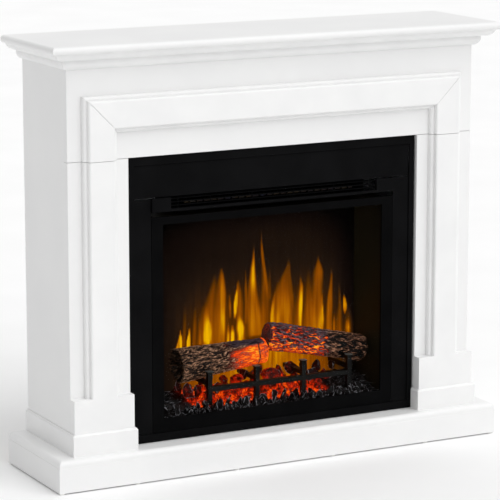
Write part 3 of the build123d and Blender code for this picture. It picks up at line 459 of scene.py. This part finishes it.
# ---------------------------------------------------------------- Rotor and light board
# Foil vanes on a bright spindle between plated brackets, turned by a small can motor, and a
# green board with a row of amber lamps under the bed.
spindle_finish = plain_finish(
    "spindle_steel", (0.52, 0.52, 0.52), (0.66, 0.66, 0.66), 40.0, (0.18, 0.34), 2200.0, 0.00002,
    (0.05, 1.0, 1.0), Metallic=1.0)
paint(spindle_finish, "rotor_spindle")
foil = plain_finish(
    "mirror_foil", (0.84, 0.84, 0.82), (0.92, 0.92, 0.90), 30.0, (0.04, 0.12), 160.0, 0.00025,
    (0.4, 1.0, 1.0), Metallic=1.0)
paint(foil, "rotor_vanes")
motor_finish = plain_finish(
    "motor_steel", (0.28, 0.28, 0.29), (0.40, 0.40, 0.41), 50.0, (0.28, 0.46), 1200.0, 0.00003, Metallic=0.85)
paint(motor_finish, "rotor_motor", "blower_motor")

circuit_finish, tree, output = new_finish("circuit_board")
place = add(tree, "TexCoord").outputs["Object"]
tracks = add(tree, "TexBrick", {
    "Vector": place, "Scale": 130.0, "Mortar Size": 0.05, "Color1": (0.012, 0.085, 0.034, 1.0),
    "Color2": (0.014, 0.095, 0.040, 1.0), "Mortar": (0.05, 0.21, 0.09, 1.0)})
board_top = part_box("led_board")[0].z + 0.0017
lamp_part = add(tree, "Math", {
    0: add(tree, "SeparateXYZ", {"Vector": place}).outputs["Z"], 1: board_top},
    operation="GREATER_THAN").outputs[0]
lamp_grain = pattern(tree, 400.0)
lamp_colour = ramp(tree, lamp_grain, ((0.3, (0.85, 0.36, 0.05)), (0.7, (0.95, 0.50, 0.10))))
lamp_mix = add(
    tree, "Mix", {"Factor": lamp_part, 6: tracks.outputs["Color"], 7: lamp_colour}, data_type="RGBA")
coat(tree, output, {
    "Base Color": lamp_mix.outputs[2],
    "Roughness": ramp(tree, lamp_grain, ((0.3, 0.25), (0.7, 0.40))),
    "Emission Color": lamp_mix.outputs[2],
    "Emission Strength": ramp(tree, lamp_part, ((0.0, 0.0), (1.0, 1.0))),
    "Normal": relief(tree, tracks.outputs["Fac"], 0.00004),
})
paint(circuit_finish, "led_board")


# ---------------------------------------------------------------- Ember bed
# A vacuum-formed tray of translucent resin, cast as a bank of broken embers and lit from below.
# It glows red and orange in the middle and is painted charcoal at the front and the ends.
def bed_glow(across, back):
    """How strongly the lamps light the bed at a place, from 0 to 1, in mm."""
    wander = 18.0 * noise.noise(Vector((across / 40.0, back / 30.0, 3.0)))
    sides = smooth_step(-210.0, -168.0, across + wander) * smooth_step(196.0, 150.0, across + wander)
    return sides * smooth_step(-40.0, -27.0, back + 0.3 * wander)


# The tray slopes up from its front edge to its back edge, in mm.
bed_front = -77.5
bed_depth = 138.0
bed_front_height = 122.0
bed_rise = 36.0


def bed_height(across, back):
    """The height of the tray's moulded surface, in mm."""
    slope = bed_front_height + bed_rise * (back - bed_front) / bed_depth
    cells, _ = noise.voronoi(Vector((across / 17.0, back / 13.0, 0.0)))
    lumps = 7.5 * (smooth_step(0.75, 0.05, cells[0]) - 1.0)
    return slope - 1.5 + lumps + 1.6 * noise.noise(Vector((across / 4.0, back / 4.0, 9.0)))


def ember_finish(name, cold_dark, cold_light, edge_colour):
    """Painted cast resin that glows where its heat is high, with ash along its broken edges; on the sharp
    points of the lumps this grey is also a painted highlight.
    """
    finish, tree, output = new_finish(name)
    heat = carried(tree, "glow_heat")
    edge = carried(tree, "edge")
    speck = pattern(tree, 330.0, 4.0, (1.0, 1.0, 0.45))
    cold = ramp(tree, speck, ((0.32, cold_dark), (0.68, cold_light)))
    # Grey on the sharp edges: ash, and on the points of the lumps also a painted highlight.
    ash_and_edge_highlight = add(tree, "Mix", {
        "Factor": ramp(tree, edge, ((0.26, 0.0), (0.66, 1.0))), 6: cold, 7: (*edge_colour, 1.0)},
        data_type="RGBA")
    clear = add(tree, "Mix", {
        "Factor": ramp(tree, heat, ((0.10, 0.0), (0.45, 1.0))), 6: ash_and_edge_highlight.outputs[2],
        7: (0.014, 0.002, 0.001, 1.0)}, data_type="RGBA")
    glow = ramp(tree, uneven(tree, heat, speck, 2.0), (
        (0.0, (0.0, 0.0, 0.0)), (0.26, (0.006, 0.0003, 0.0001)), (0.46, (0.11, 0.004, 0.0005)),
        (0.66, (0.30, 0.008, 0.0004)), (0.84, (0.62, 0.020, 0.001)), (0.95, (0.96, 0.055, 0.001)),
        (1.0, (1.0, 0.16, 0.003))))
    coat(tree, output, {
        "Base Color": clear.outputs[2],
        "Roughness": ramp(tree, speck, ((0.3, 0.52), (0.7, 0.78))),
        "Specular IOR Level": 0.12,
        "Emission Color": glow,
        "Emission Strength": 1.0,
        "Normal": relief(tree, speck, 0.0006),
    })
    return finish


def mark_edges(lumps, vertices, gain):
    """Writes how sharp each vertex is, from 0 on a flat to 1 on a point."""
    edge_layer = lumps.verts.layers.float.get("edge") or lumps.verts.layers.float.new("edge")
    for vertex in vertices:
        faces = vertex.link_faces
        total = sum((face.normal for face in faces), Vector())
        vertex[edge_layer] = min(1.0, gain * (1.0 - total.length / max(len(faces), 1)))


def show(name, shape, finish, slot, *replaced):
    """The finished shape becomes a piece of the fixed body in place of its plain CAD nodes."""
    mesh = bpy.data.meshes.new(name)
    shape.to_mesh(mesh)
    shape.free()
    mesh.materials.append(finish)
    piece = bpy.data.objects.new(name, mesh)
    bpy.context.scene.collection.objects.link(piece)
    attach(piece, "root")
    if replaced:
        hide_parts(*replaced)
    return piece


bed_low, bed_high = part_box("ember_bed")
bed = bmesh.new()
bmesh.ops.create_grid(bed, x_segments=236, y_segments=56, size=0.5)
bmesh.ops.scale(bed, verts=bed.verts, vec=(bed_high.x - bed_low.x, bed_high.y - bed_low.y, 1.0))
bmesh.ops.translate(bed, verts=bed.verts, vec=((bed_low + bed_high) / 2.0).to_2d().to_3d())
heat_layer = bed.verts.layers.float.new("glow_heat")
edge_layer = bed.verts.layers.float.new("edge")
for vertex in bed.verts:
    across = vertex.co.x * 1000.0
    back = vertex.co.y * 1000.0
    vertex.co.z = bed_height(across, back) / 1000.0
    cells, _ = noise.voronoi(Vector((across / 17.0, back / 13.0, 0.0)))
    flicker = 0.5 + 0.5 * noise.noise(Vector((across / 9.0, back / 7.0, 21.0)))
    lamp_share = 0.24 + 0.42 * smooth_step(0.2, 0.6, cells[0]) + 0.40 * flicker
    vertex[heat_layer] = bed_glow(across, back) * lamp_share
    vertex[edge_layer] = 0.25 * smooth_step(0.30, 0.05, cells[1] - cells[0])
rim = [edge for edge in bed.edges if edge.is_boundary]
skirt = bmesh.ops.extrude_edge_only(bed, edges=rim)["geom"]
for vertex in (part for part in skirt if isinstance(part, bmesh.types.BMVert)):
    vertex.co.z = bed_low.z
bmesh.ops.holes_fill(bed, edges=[edge for edge in bed.edges if edge.is_boundary], sides=0)
bmesh.ops.recalc_face_normals(bed, faces=bed.faces)
ember_resin = ember_finish("ember_resin", (0.006, 0.005, 0.005), (0.026, 0.020, 0.020), (0.10, 0.09, 0.10))
show("ember_bed_cast", bed, ember_resin, "ember_resin", "ember_bed")


# ---------------------------------------------------------------- Coals and embers
# Loose cast lumps heaped on the tray: upright split charcoal with ash-grey edges along the front,
# the grey on their sharp tips also a painted highlight, glowing lumps behind the grate bar, and thin
# dark strands at the two ends.
def split_lump(size, seed, detail=3, cuts=9):
    """A lump about one unit across with flat split faces and an upright grain."""
    chance = random.Random(seed)
    lump = bmesh.new()
    bmesh.ops.create_icosphere(lump, subdivisions=detail, radius=0.62)
    for _ in range(cuts):
        facing = Vector((chance.uniform(-1, 1), chance.uniform(-1, 1), chance.uniform(-0.55, 0.55)))
        facing.normalize()
        reach = chance.uniform(0.20, 0.42)
        for vertex in lump.verts:
            beyond = vertex.co.dot(facing) - reach
            if beyond > 0.0:
                vertex.co -= facing * beyond
    for vertex in lump.verts:
        at = vertex.co
        grain = noise.noise(Vector((at.x * 7.0, at.y * 7.0, at.z * 1.6 + seed)))
        lean = Vector((at.x, at.y, 0.0))
        if lean.length > 1e-4:
            vertex.co += lean.normalized() * 0.09 * grain
    bmesh.ops.scale(lump, verts=lump.verts, vec=size)
    return lump


def heap(pile, size, place, turn, heat, seed, detail=3, cuts=9):
    """Adds one lump to the pile, in mm, with its heat drifting over it."""
    lump = split_lump(Vector(size), seed, detail, cuts)
    bmesh.ops.rotate(lump, verts=lump.verts, matrix=turn)
    bmesh.ops.translate(lump, verts=lump.verts, vec=place)
    bmesh.ops.recalc_face_normals(lump, faces=lump.faces)
    lump.normal_update()
    heat_layer = lump.verts.layers.float.new("glow_heat")
    mark_edges(lump, lump.verts, 2.4 if detail > 1 else 0.85)
    for vertex in lump.verts:
        at = vertex.co
        drift = noise.noise(Vector((at.x / 8.0, at.y / 8.0, at.z / 6.0 + seed)))
        vertex[heat_layer] = max(0.0, min(1.0, heat * (0.76 + 0.95 * drift)))
    bmesh.ops.scale(lump, verts=lump.verts, vec=(0.001, 0.001, 0.001))
    spare = bpy.data.meshes.new("spare_lump")
    lump.to_mesh(spare)
    lump.free()
    pile.from_mesh(spare)
    bpy.data.meshes.remove(spare)


def turned(tilt_x, tilt_y, spin):
    """A turn about X, then Y, then Z, in degrees."""
    return (Matrix.Rotation(math.radians(spin), 3, "Z") @ Matrix.Rotation(math.radians(tilt_y), 3, "Y")
            @ Matrix.Rotation(math.radians(tilt_x), 3, "X"))


coals = bmesh.new()
coals.verts.layers.float.new("glow_heat")
coals.verts.layers.float.new("edge")
chance = random.Random(11)
# Each row is its y in mm, how many lumps, their height in mm and their heat.
coal_rows = ((-67.0, 24, 19.0, 0.02), (-57.0, 22, 27.0, 0.05), (-46.0, 22, 29.0, 0.20))
for row, (row_y, count, tall, hot) in enumerate(coal_rows):
    for index in range(count):
        across = -276.0 + 552.0 * (index + 0.5 * (row % 2) + chance.uniform(-0.2, 0.2)) / count
        back = row_y + chance.uniform(-2.5, 2.5)
        height = tall * chance.uniform(0.75, 1.2)
        width = chance.uniform(15.0, 24.0)
        heat = hot * (0.6 + 0.8 * chance.random()) * (0.15 + 0.85 * bed_glow(across, -38.0))
        heap(
            coals, (width, chance.uniform(12.0, 16.0), height),
            (across, back, bed_height(across, back) + 0.22 * height),
            turned(chance.uniform(-30, 30), chance.uniform(-48, 48), chance.uniform(0, 180)),
            heat, 100 * row + index)
# The pale edge grey stands for ash and for painted highlight on the lump tips.
coal_resin = ember_finish("coal_resin", (0.001, 0.0008, 0.0009), (0.007, 0.0054, 0.0058), (0.30, 0.29, 0.32))
# The glowing lumps between and behind the rungs: place in mm, size, heat.
glowing = (
    ((-103, -8, 164), (40, 26, 26), 0.42), ((-118, 20, 172), (30, 24, 28), 0.30), ((-78, 22, 168),
    (28, 22, 24), 0.45),
    ((-50, 6, 166), (34, 26, 34), 0.78), ((-2, 22, 172), (24, 22, 30), 0.62), ((36, 2, 168),
    (48, 30, 40), 0.60),
    ((66, 18, 166), (24, 22, 24), 0.66), ((142, -4, 168), (44, 26, 34), 0.30), ((186, 6, 162),
    (34, 24, 24), 0.42),
    ((-188, -18, 162), (26, 26, 40), 0.40), ((-208, 8, 168), (18, 22, 34), 0.34), ((-160, 0, 158),
    (26, 24, 26), 0.36),
    ((112, 24, 162), (26, 22, 22), 0.50), ((8, -18, 152), (34, 26, 26), 0.72), ((-24, -22, 150),
    (28, 24, 24), 0.80),
    ((-70, -24, 150), (34, 24, 26), 0.84), ((78, -22, 150), (34, 24, 28), 0.78), ((-140, -26, 146),
    (30, 24, 28), 0.74),
    ((-30, 14, 184), (30, 22, 26), 0.34), ((66, 14, 184), (30, 22, 26), 0.40), ((100, 16, 183),
    (34, 24, 26), 0.30),
    ((132, 12, 182), (30, 22, 24), 0.28), ((166, 14, 182), (30, 22, 24), 0.26), ((-140, 16, 178),
    (30, 22, 24), 0.30),
    ((210, 10, 176), (28, 20, 22), 0.12), ((12, 18, 186), (26, 20, 24), 0.42),
    ((112, -22, 150), (30, 24, 26), 0.72), ((152, -26, 148), (26, 22, 24), 0.64), ((44, -28, 148),
    (30, 20, 24), 0.86),
)
for index, (place, size, heat) in enumerate(glowing):
    heap(
        coals, size, place,
        turned(chance.uniform(-16, 16), chance.uniform(-24, 24), chance.uniform(0, 180)), heat, 500 + index)
# Splinters and strands fill the gaps.
for index in range(420):
    across = chance.uniform(-286.0, 286.0)
    back = -74.0 + 128.0 * chance.random() ** 1.7
    at_end = abs(across) > 215.0
    lying = at_end or chance.random() < 0.35
    length = chance.uniform(14.0, 34.0) if at_end else chance.uniform(9.0, 20.0)
    heat = bed_glow(across, back) * chance.uniform(0.1, 0.95)
    tilt = chance.uniform(68, 92) if lying else chance.uniform(-32, 32)
    spin = chance.uniform(-28, 28) if at_end else chance.uniform(0, 180)
    heap(
        coals, (chance.uniform(3.0, 5.5), chance.uniform(2.5, 4.5), length),
        (across, back, bed_height(across, back) + (2.5 if lying else 0.30 * length)),
        turned(chance.uniform(-16, 16), tilt, spin), heat, 900 + index, 1, 4)
show("coal_heap", coals, coal_resin, "coal_resin", "coal_lumps")


# ---------------------------------------------------------------- Logs
# Hollow casts in painted resin with bark pressed in. Lamps under them light the translucent
# unpainted parts: the right third of the left log, and the charred left half of the right log.
def bark_shell(start, end, first_radius, last_radius, rings, sides, relief_of):
    """A log's outer skin along its own Z, in mm, with the turn that lays it in place."""
    axis = end - start
    turn = Vector((0, 0, 1)).rotation_difference(axis).to_matrix().to_4x4()
    turn = Matrix.Translation((start + end) / 2.0) @ turn
    log = bmesh.new()
    bmesh.ops.create_cone(
        log, cap_ends=False, segments=sides, radius1=first_radius, radius2=last_radius, depth=axis.length)
    lengthwise = [
        edge for edge in log.edges if abs(edge.verts[0].co.z - edge.verts[1].co.z) > axis.length / 2.0]
    bmesh.ops.subdivide_edges(log, edges=lengthwise, cuts=rings - 1)
    heat_layer = log.verts.layers.float.new("glow_heat")
    bark_layer = log.verts.layers.float.new("bark")
    char_layer = log.verts.layers.float.new("char")
    for vertex in log.verts:
        share = vertex.co.z / axis.length + 0.5
        outward = Vector((vertex.co.x, vertex.co.y, 0.0))
        radius = outward.length
        outward.normalize()
        facing = turn.to_3x3() @ outward
        lift, slide, heat, bark, char = relief_of(share, radius, outward, facing)
        vertex.co += outward * lift
        vertex.co.z += slide
        vertex[heat_layer] = heat
        vertex[bark_layer] = bark
        vertex[char_layer] = char
    return log, turn, axis.length


def turn_in(log, at_start, length, steps, finish_of):
    """Turns the skin in at one end through steps of scale and depth, and closes it."""
    heat_layer = log.verts.layers.float["glow_heat"]
    bark_layer = log.verts.layers.float["bark"]
    char_layer = log.verts.layers.float["char"]
    side = -1.0 if at_start else 1.0
    loop = [edge for edge in log.edges if edge.is_boundary and edge.verts[0].co.z * side > 0.0]
    base = []
    for scale, depth in steps:
        grown = bmesh.ops.extrude_edge_only(log, edges=loop)["geom"]
        rim = [part for part in grown if isinstance(part, bmesh.types.BMVert)]
        if not base:
            base = [vertex.co.copy() for vertex in rim]
        for vertex, root in zip(rim, base):
            outward = Vector((root.x, root.y, 0.0))
            heat, bark, char, push = finish_of(scale, outward.normalized(), outward.length * scale)
            vertex.co = Vector((root.x * scale, root.y * scale, root.z - side * (depth + push)))
            vertex[heat_layer] = heat
            vertex[bark_layer] = bark
            vertex[char_layer] = char
        loop = [part for part in grown if isinstance(part, bmesh.types.BMEdge) and part.is_boundary]
    bmesh.ops.holes_fill(log, edges=loop, sides=0)


def lay(log, turn):
    """Lays a closed log in its place, in metres, with a smooth skin."""
    bmesh.ops.transform(log, matrix=Matrix.Scale(0.001, 4) @ turn, verts=log.verts)
    bmesh.ops.recalc_face_normals(log, faces=log.faces)
    for face in log.faces:
        face.smooth = True


def ridged(point):
    """Sharp crests where the noise crosses zero, from 0 in a hollow to 1 on a crest."""
    return max(0.0, 1.0 - 2.6 * abs(noise.noise(point)))


# The lengths that the bark patterns are laid along, in mm.
left_bark_length = 226.0
right_bark_length = 254.0


def left_relief(share, radius, outward, facing):
    """Wavy pressed bark, a charred strip along the top right, and a glowing right end."""
    along = share * left_bark_length
    round_x = outward.x * radius
    round_y = outward.y * radius
    warp = 4.2 * noise.noise(Vector((along / 17.0, round_x / 14.0, round_y / 14.0)))
    coarse = ridged(Vector((along / 26.0, (round_x + warp) / 3.9, (round_y - warp) / 3.9)))
    fine = ridged(Vector((along / 12.0, (round_x - warp) / 2.4, (round_y + warp) / 2.4 + 7.0)))
    bark = min(1.0, 0.68 * coarse + 0.42 * fine)
    bend = noise.noise(Vector((along / 60.0, outward.x, outward.y)))
    wander = 0.05 * noise.noise(Vector((along / 25.0, round_x / 16.0, round_y / 16.0)))
    hot = smooth_step(0.40, 0.74, share + wander - 0.22 * smooth_step(0.35, 0.95, facing.z))
    smooth = smooth_step(0.82, 0.92, share + wander)
    strip = smooth_step(0.52, 0.66, share) * smooth_step(0.66, 0.86, facing.z + wander)
    flare = 0.5 + 0.5 * noise.noise(Vector((along / 16.0, round_x / 9.0, round_y / 9.0 + 4.0)))
    belt = smooth_step(0.76, 0.83, share + wander) * smooth_step(0.915, 0.87, share)
    groove = smooth_step(0.70, 0.20, bark)
    belt *= smooth_step(0.85, 0.1, abs(facing.z - 0.1))
    heat = hot * (0.36 + 0.34 * groove + 0.26 * flare + 0.20 * belt)
    heat = max(heat, 0.62 * smooth_step(0.30, 0.62, share + wander) * groove * flare)
    heat *= 1.0 - 0.9 * strip * (1.0 - smooth_step(0.965, 0.99, share))
    rim_glow = smooth_step(0.982, 0.992, share + 0.2 * wander)
    heat = max(heat, 0.90 * rim_glow * (0.35 + 0.9 * flare))
    collar_at = 0.905 + 0.012 * noise.noise(Vector((round_x / 12.0, round_y / 12.0, 2.0)))
    collar = smooth_step(0.010, 0.003, abs(share - collar_at)) * (1.0 - strip)
    heat *= 1.0 - 0.85 * collar
    ragged = 4.5 * noise.noise(Vector((round_x / 5.0, round_y / 5.0, 11.0))) + 3.0 * noise.noise(
        Vector((round_x / 13.0, round_y / 13.0, 5.0)))
    lift = 1.4 * bend + 3.8 * (bark - 0.55) * (1.0 - 0.7 * smooth) - 2.0 * collar
    lift += 1.2 * smooth_step(0.93, 1.0, share)
    slide = ragged * smooth_step(0.05, 0.0, share)
    return lift, slide, min(heat, 1.0), bark, max(strip, 0.0)


left_start = Vector((-208.0, 6.0, 223.0))
left_end = Vector((16.0, 1.0, 237.5))
left_log, left_turn, left_length = bark_shell(left_start, left_end, 40.5, 28.5, 230, 220, left_relief)
turn_in(
    left_log, True, left_length,
    ((0.955, -1.0), (0.90, 0.5), (0.86, 3.0), (0.81, 6.0), (0.74, 9.0), (0.66, 11.0), (0.56, 13.0),
     (0.46, 14.0), (0.34, 14.5), (0.22, 15.0), (0.10, 15.0)),
    lambda scale, outward, radius: (
        0.0, 0.75 if scale > 0.93 else 0.52 + 0.5 * noise.noise(outward * 6.0 + Vector((0, 0, scale * 9.0))),
        0.0, 3.0 * noise.noise(outward * 5.0 + Vector((0, 0, scale * 7.0))) * (1.0 - scale) * 3.0))
turn_in(
    left_log, False, left_length,
    ((0.97, -1.2), (0.92, -1.8), (0.80, -1.6), (0.62, -1.0), (0.42, -0.6), (0.2, -0.4)),
    lambda scale, outward, radius: (
        0.34 + 0.30 * smooth_step(0.80, 0.96, scale) + 0.4 * noise.noise(outward * radius / 9.0),
        0.3, 0.2, 0.0))
lay(left_log, left_turn)


def right_relief(share, radius, outward, facing):
    """Charred checks with glowing cracks on the left, and coarse bark with gaps on the right whose black is
    painted shade.
    """
    along = share * right_bark_length
    round_x = outward.x * radius
    round_y = outward.y * radius
    warp = 3.8 * noise.noise(Vector((along / 18.0, round_x / 13.0, round_y / 13.0 + 20.0)))
    coarse = ridged(Vector((along / 26.0, (round_x + warp) / 4.0, (round_y - warp) / 4.0 + 30.0)))
    fine = ridged(Vector((along / 12.0, (round_x - warp) / 2.5, (round_y + warp) / 2.5 + 40.0)))
    gap = smooth_step(0.10, 0.34, noise.noise(
        Vector((along / 22.0, (round_x + warp) / 6.0, (round_y + warp) / 6.0 + 55.0))))
    wander = 0.07 * noise.noise(Vector((along / 22.0, round_x / 12.0, round_y / 12.0 + 60.0)))
    charred = smooth_step(0.64, 0.54, share + wander)
    bark = min(1.0, 0.62 * coarse + 0.48 * fine) * (1.0 - 0.8 * gap * (1.0 - charred))
    crack = smooth_step(0.115, 0.03, abs(noise.noise(
        Vector((along / 26.0, (round_x + 1.4 * warp) / 7.5, (round_y - 1.4 * warp) / 7.5 + 70.0)))))
    hair = smooth_step(0.10, 0.02, abs(noise.noise(
        Vector((along / 12.0, (round_x - warp) / 4.0, (round_y + warp) / 4.0 + 80.0)))))
    front = -facing.y
    split_at = 0.50 - 1.30 * share + 0.16 * noise.noise(Vector((along / 9.0, 0.0, 90.0)))
    long_split = smooth_step(0.050, 0.015, abs(facing.z - split_at)) * smooth_step(0.02, 0.05, share)
    long_split *= smooth_step(0.52, 0.40, share) * smooth_step(0.0, 0.4, front)
    under = smooth_step(0.05, -0.75, facing.z)
    flare = 0.5 + 0.5 * noise.noise(Vector((along / 13.0, round_x / 8.0, round_y / 8.0 + 95.0)))
    groove = smooth_step(0.62, 0.15, bark)
    heat = 0.44 * crack * (0.4 + flare) + 0.24 * hair * flare + 0.62 * groove * (0.20 + flare)
    heat = charred * (1.30 * max(heat - 0.05, 0.0) + 0.42 * under * (0.35 + flare))
    heat *= 1.0 - 0.55 * smooth_step(0.50, 0.90, bark) * (1.0 - 0.6 * under)
    heat = max(heat, 0.80 * long_split * charred * (0.5 + 0.7 * flare))
    bend = noise.noise(Vector((along / 50.0, outward.x + 4.0, outward.y)))
    lift = 1.3 * bend + 4.0 * (bark - 0.55) - 1.1 * crack * charred - 1.0 * long_split
    lift -= 3.0 * smooth_step(0.965, 1.0, share) + 1.8 * smooth_step(0.03, 0.0, share)
    return lift, 0.0, min(heat, 1.0), bark, charred


right_start = Vector((37.0, 22.0, 266.0))
right_end = Vector((285.0, -4.0, 215.0))
right_log, right_turn, right_length = bark_shell(right_start, right_end, 32.5, 30.5, 250, 200, right_relief)


def swirl(scale, outward, radius):
    """The end grain: rings that wind in, with hot hair cracks between them."""
    angle = math.atan2(outward.y, outward.x)
    wave = math.sin(radius * 1.05 + angle + 1.6 * noise.noise(outward * 2.0 + Vector((0, 0, radius / 9.0))))
    fleck = noise.noise(Vector((outward.x * radius / 3.0, outward.y * radius / 3.0, 50.0)))
    crack_heat = 0.55 * smooth_step(0.72, 1.0, -wave) + 0.1
    return crack_heat, 0.5 + 0.35 * wave + 0.4 * fleck, 1.0, -1.1 * wave - 0.8 * fleck


end_steps = [
    (1.0 - 0.034 * step, -1.6 * math.sin(min(step / 6.0, 1.0) * math.pi / 2.0)) for step in range(1, 28)]
turn_in(right_log, True, right_length, end_steps, swirl)
turn_in(
    right_log, False, right_length, end_steps,
    lambda scale, outward, radius: (
        0.0, 0.45 + 0.5 * noise.noise(Vector((outward.x * radius / 4.0, outward.y * radius / 4.0, 70.0))), 0.0,
        1.2 * noise.noise(Vector((outward.x * radius / 4.0, outward.y * radius / 4.0, 70.0)))))
lay(right_log, right_turn)


def log_finish(name, bark_and_hollow_shade_stops, char_stops):
    """Hand-painted bark: dark in the hollows, where the near black is painted shade, pale on the crests,
    charred or glowing by place.
    """
    finish, tree, output = new_finish(name)
    heat = carried(tree, "glow_heat")
    bark = carried(tree, "bark")
    char = carried(tree, "char")
    speck = pattern(tree, 520.0, 4.0)
    worn = add(tree, "Math", {0: speck, 1: 0.5}, operation="SUBTRACT").outputs[0]
    crest = add(tree, "Math", {0: worn, 1: 0.55, 2: bark}, operation="MULTIPLY_ADD").outputs[0]
    skin = add(tree, "Mix", {
        "Factor": char, 6: ramp(tree, crest, bark_and_hollow_shade_stops), 7: ramp(tree, crest, char_stops)}, data_type="RGBA")
    clear = add(tree, "Mix", {
        "Factor": ramp(tree, heat, ((0.25, 0.0), (0.60, 1.0))), 6: skin.outputs[2],
        7: (0.026, 0.003, 0.001, 1.0)}, data_type="RGBA")
    glow = ramp(tree, uneven(tree, heat, speck, 1.0), (
        (0.0, (0.0, 0.0, 0.0)), (0.22, (0.006, 0.0004, 0.0)), (0.38, (0.11, 0.004, 0.0004)),
        (0.52, (0.46, 0.017, 0.001)), (0.66, (0.90, 0.060, 0.002)), (0.82, (1.0, 0.17, 0.005)),
        (1.0, (1.0, 0.45, 0.02))))
    coat(tree, output, {
        "Base Color": clear.outputs[2],
        "Roughness": ramp(tree, speck, ((0.3, 0.55), (0.7, 0.80))),
        "Specular IOR Level": 0.12,
        "Emission Color": glow,
        "Emission Strength": 1.0,
        "Normal": relief(tree, speck, 0.0004),
    })
    return finish


# The lowest bark stops are near black: painted shade in the bark's hollows.
log_resin = log_finish(
    "log_resin",
    ((0.20, (0.003, 0.002, 0.0015)), (0.50, (0.034, 0.016, 0.009)), (0.74, (0.175, 0.082, 0.046)),
     (0.95, (0.58, 0.31, 0.19))),
    ((0.2, (0.010, 0.006, 0.009)), (0.9, (0.075, 0.045, 0.062))))
charred_log_resin = log_finish(
    "charred_log_resin",
    ((0.20, (0.002, 0.0015, 0.001)), (0.48, (0.034, 0.014, 0.008)), (0.72, (0.180, 0.076, 0.042)),
     (0.95, (0.56, 0.28, 0.17))),
    ((0.20, (0.003, 0.002, 0.0025)), (0.52, (0.017, 0.010, 0.012)), (0.90, (0.15, 0.098, 0.115))))
show("left_log_cast", left_log, log_resin, "log_resin", "left_log")
show("right_log_cast", right_log, charred_log_resin, "charred_log_resin", "right_log")

# ---------------------------------------------------------------- Grate
# Square iron bar, welded and painted black. The tops of the post caps are painted grey as a highlight.
grate_finish, tree, output = new_finish("grate_iron")
cast = pattern(tree, 380.0, 3.0)
cap_height = add(tree, "SeparateXYZ", {"Vector": add(tree, "TexCoord").outputs["Object"]}).outputs["Z"]
grate_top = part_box("grate")[1].z
cap_top_highlight_mask = add(tree, "MapRange", {
    "Value": cap_height, "From Min": grate_top - 0.0012, "From Max": grate_top - 0.0004}).outputs[0]
black_paint = ramp(tree, cast, ((0.3, (0.0015, 0.0015, 0.0015)), (0.7, (0.004, 0.0038, 0.0036))))
# Painted highlight: grey on the upward faces of the post caps.
cap_top_highlight_paint = ramp(tree, cast, ((0.3, (0.055, 0.052, 0.046)), (0.7, (0.13, 0.125, 0.115))))
cap_mix = add(tree, "Mix", {"Factor": cap_top_highlight_mask, 6: black_paint, 7: cap_top_highlight_paint}, data_type="RGBA")
coat(tree, output, {
    "Base Color": cap_mix.outputs[2],
    "Roughness": ramp(tree, cast, ((0.3, 0.34), (0.7, 0.50))),
    "Specular IOR Level": 0.12,
    "Normal": relief(tree, cast, 0.00012),
})
paint(grate_finish, "grate")

# ---------------------------------------------------------------- Fan heater
# A sheathed element in a black duct and a long squirrel-cage blower in mill aluminium. The
# element's sheath is tinted blue and straw by its heat, and all its colours are kept near black as
# painted shade for the inside of the duct behind the outlet slot.
element_painted_shade_finish, tree, output = new_finish("element_steel")
tint = pattern(tree, 22.0, 2.0, (1.0, 3.0, 3.0))
brush = pattern(tree, 1500.0, 2.0, (0.1, 1.0, 1.0))
coat(tree, output, {
    # Near-black sheath colours: painted shade inside the duct.
    "Base Color": ramp(tree, tint, (
        (0.30, (0.012, 0.014, 0.024)), (0.45, (0.022, 0.018, 0.020)),
        (0.58, (0.034, 0.025, 0.015)), (0.70, (0.026, 0.025, 0.024)))),
    "Metallic": 1.0,
    "Roughness": ramp(tree, brush, ((0.3, 0.28), (0.7, 0.45))),
    "Normal": relief(tree, brush, 0.00003),
})
paint(element_painted_shade_finish, "heating_element")
aluminium = plain_finish(
    "blower_aluminium", (0.60, 0.60, 0.62), (0.72, 0.72, 0.74), 45.0, (0.26, 0.42), 1800.0, 0.00003,
    (0.08, 1.0, 1.0), Metallic=1.0)
paint(aluminium, "blower_wheel")

# ---------------------------------------------------------------- Controls and inlet
# Moulded parts behind the flap: three gloss rockers and two matt knobs, and the mains socket in
# the back of the casing.
rocker_plastic = plain_finish(
    "switch_plastic", (0.016, 0.016, 0.017), (0.024, 0.024, 0.025), 80.0, (0.16, 0.26), 1300.0, 0.00001)
paint(rocker_plastic, "flame_switch", "low_heat_switch", "high_heat_switch")
knob_plastic = plain_finish(
    "knob_plastic", (0.028, 0.028, 0.029), (0.042, 0.042, 0.043), 70.0, (0.42, 0.56), 1500.0, 0.00003)
paint(knob_plastic, "thermostat_knob", "dimmer_knob")
inlet_plastic = plain_finish(
    "inlet_plastic", (0.020, 0.020, 0.021), (0.032, 0.032, 0.033), 70.0, (0.36, 0.50), 1300.0, 0.00003)
paint(inlet_plastic, "mains_inlet")
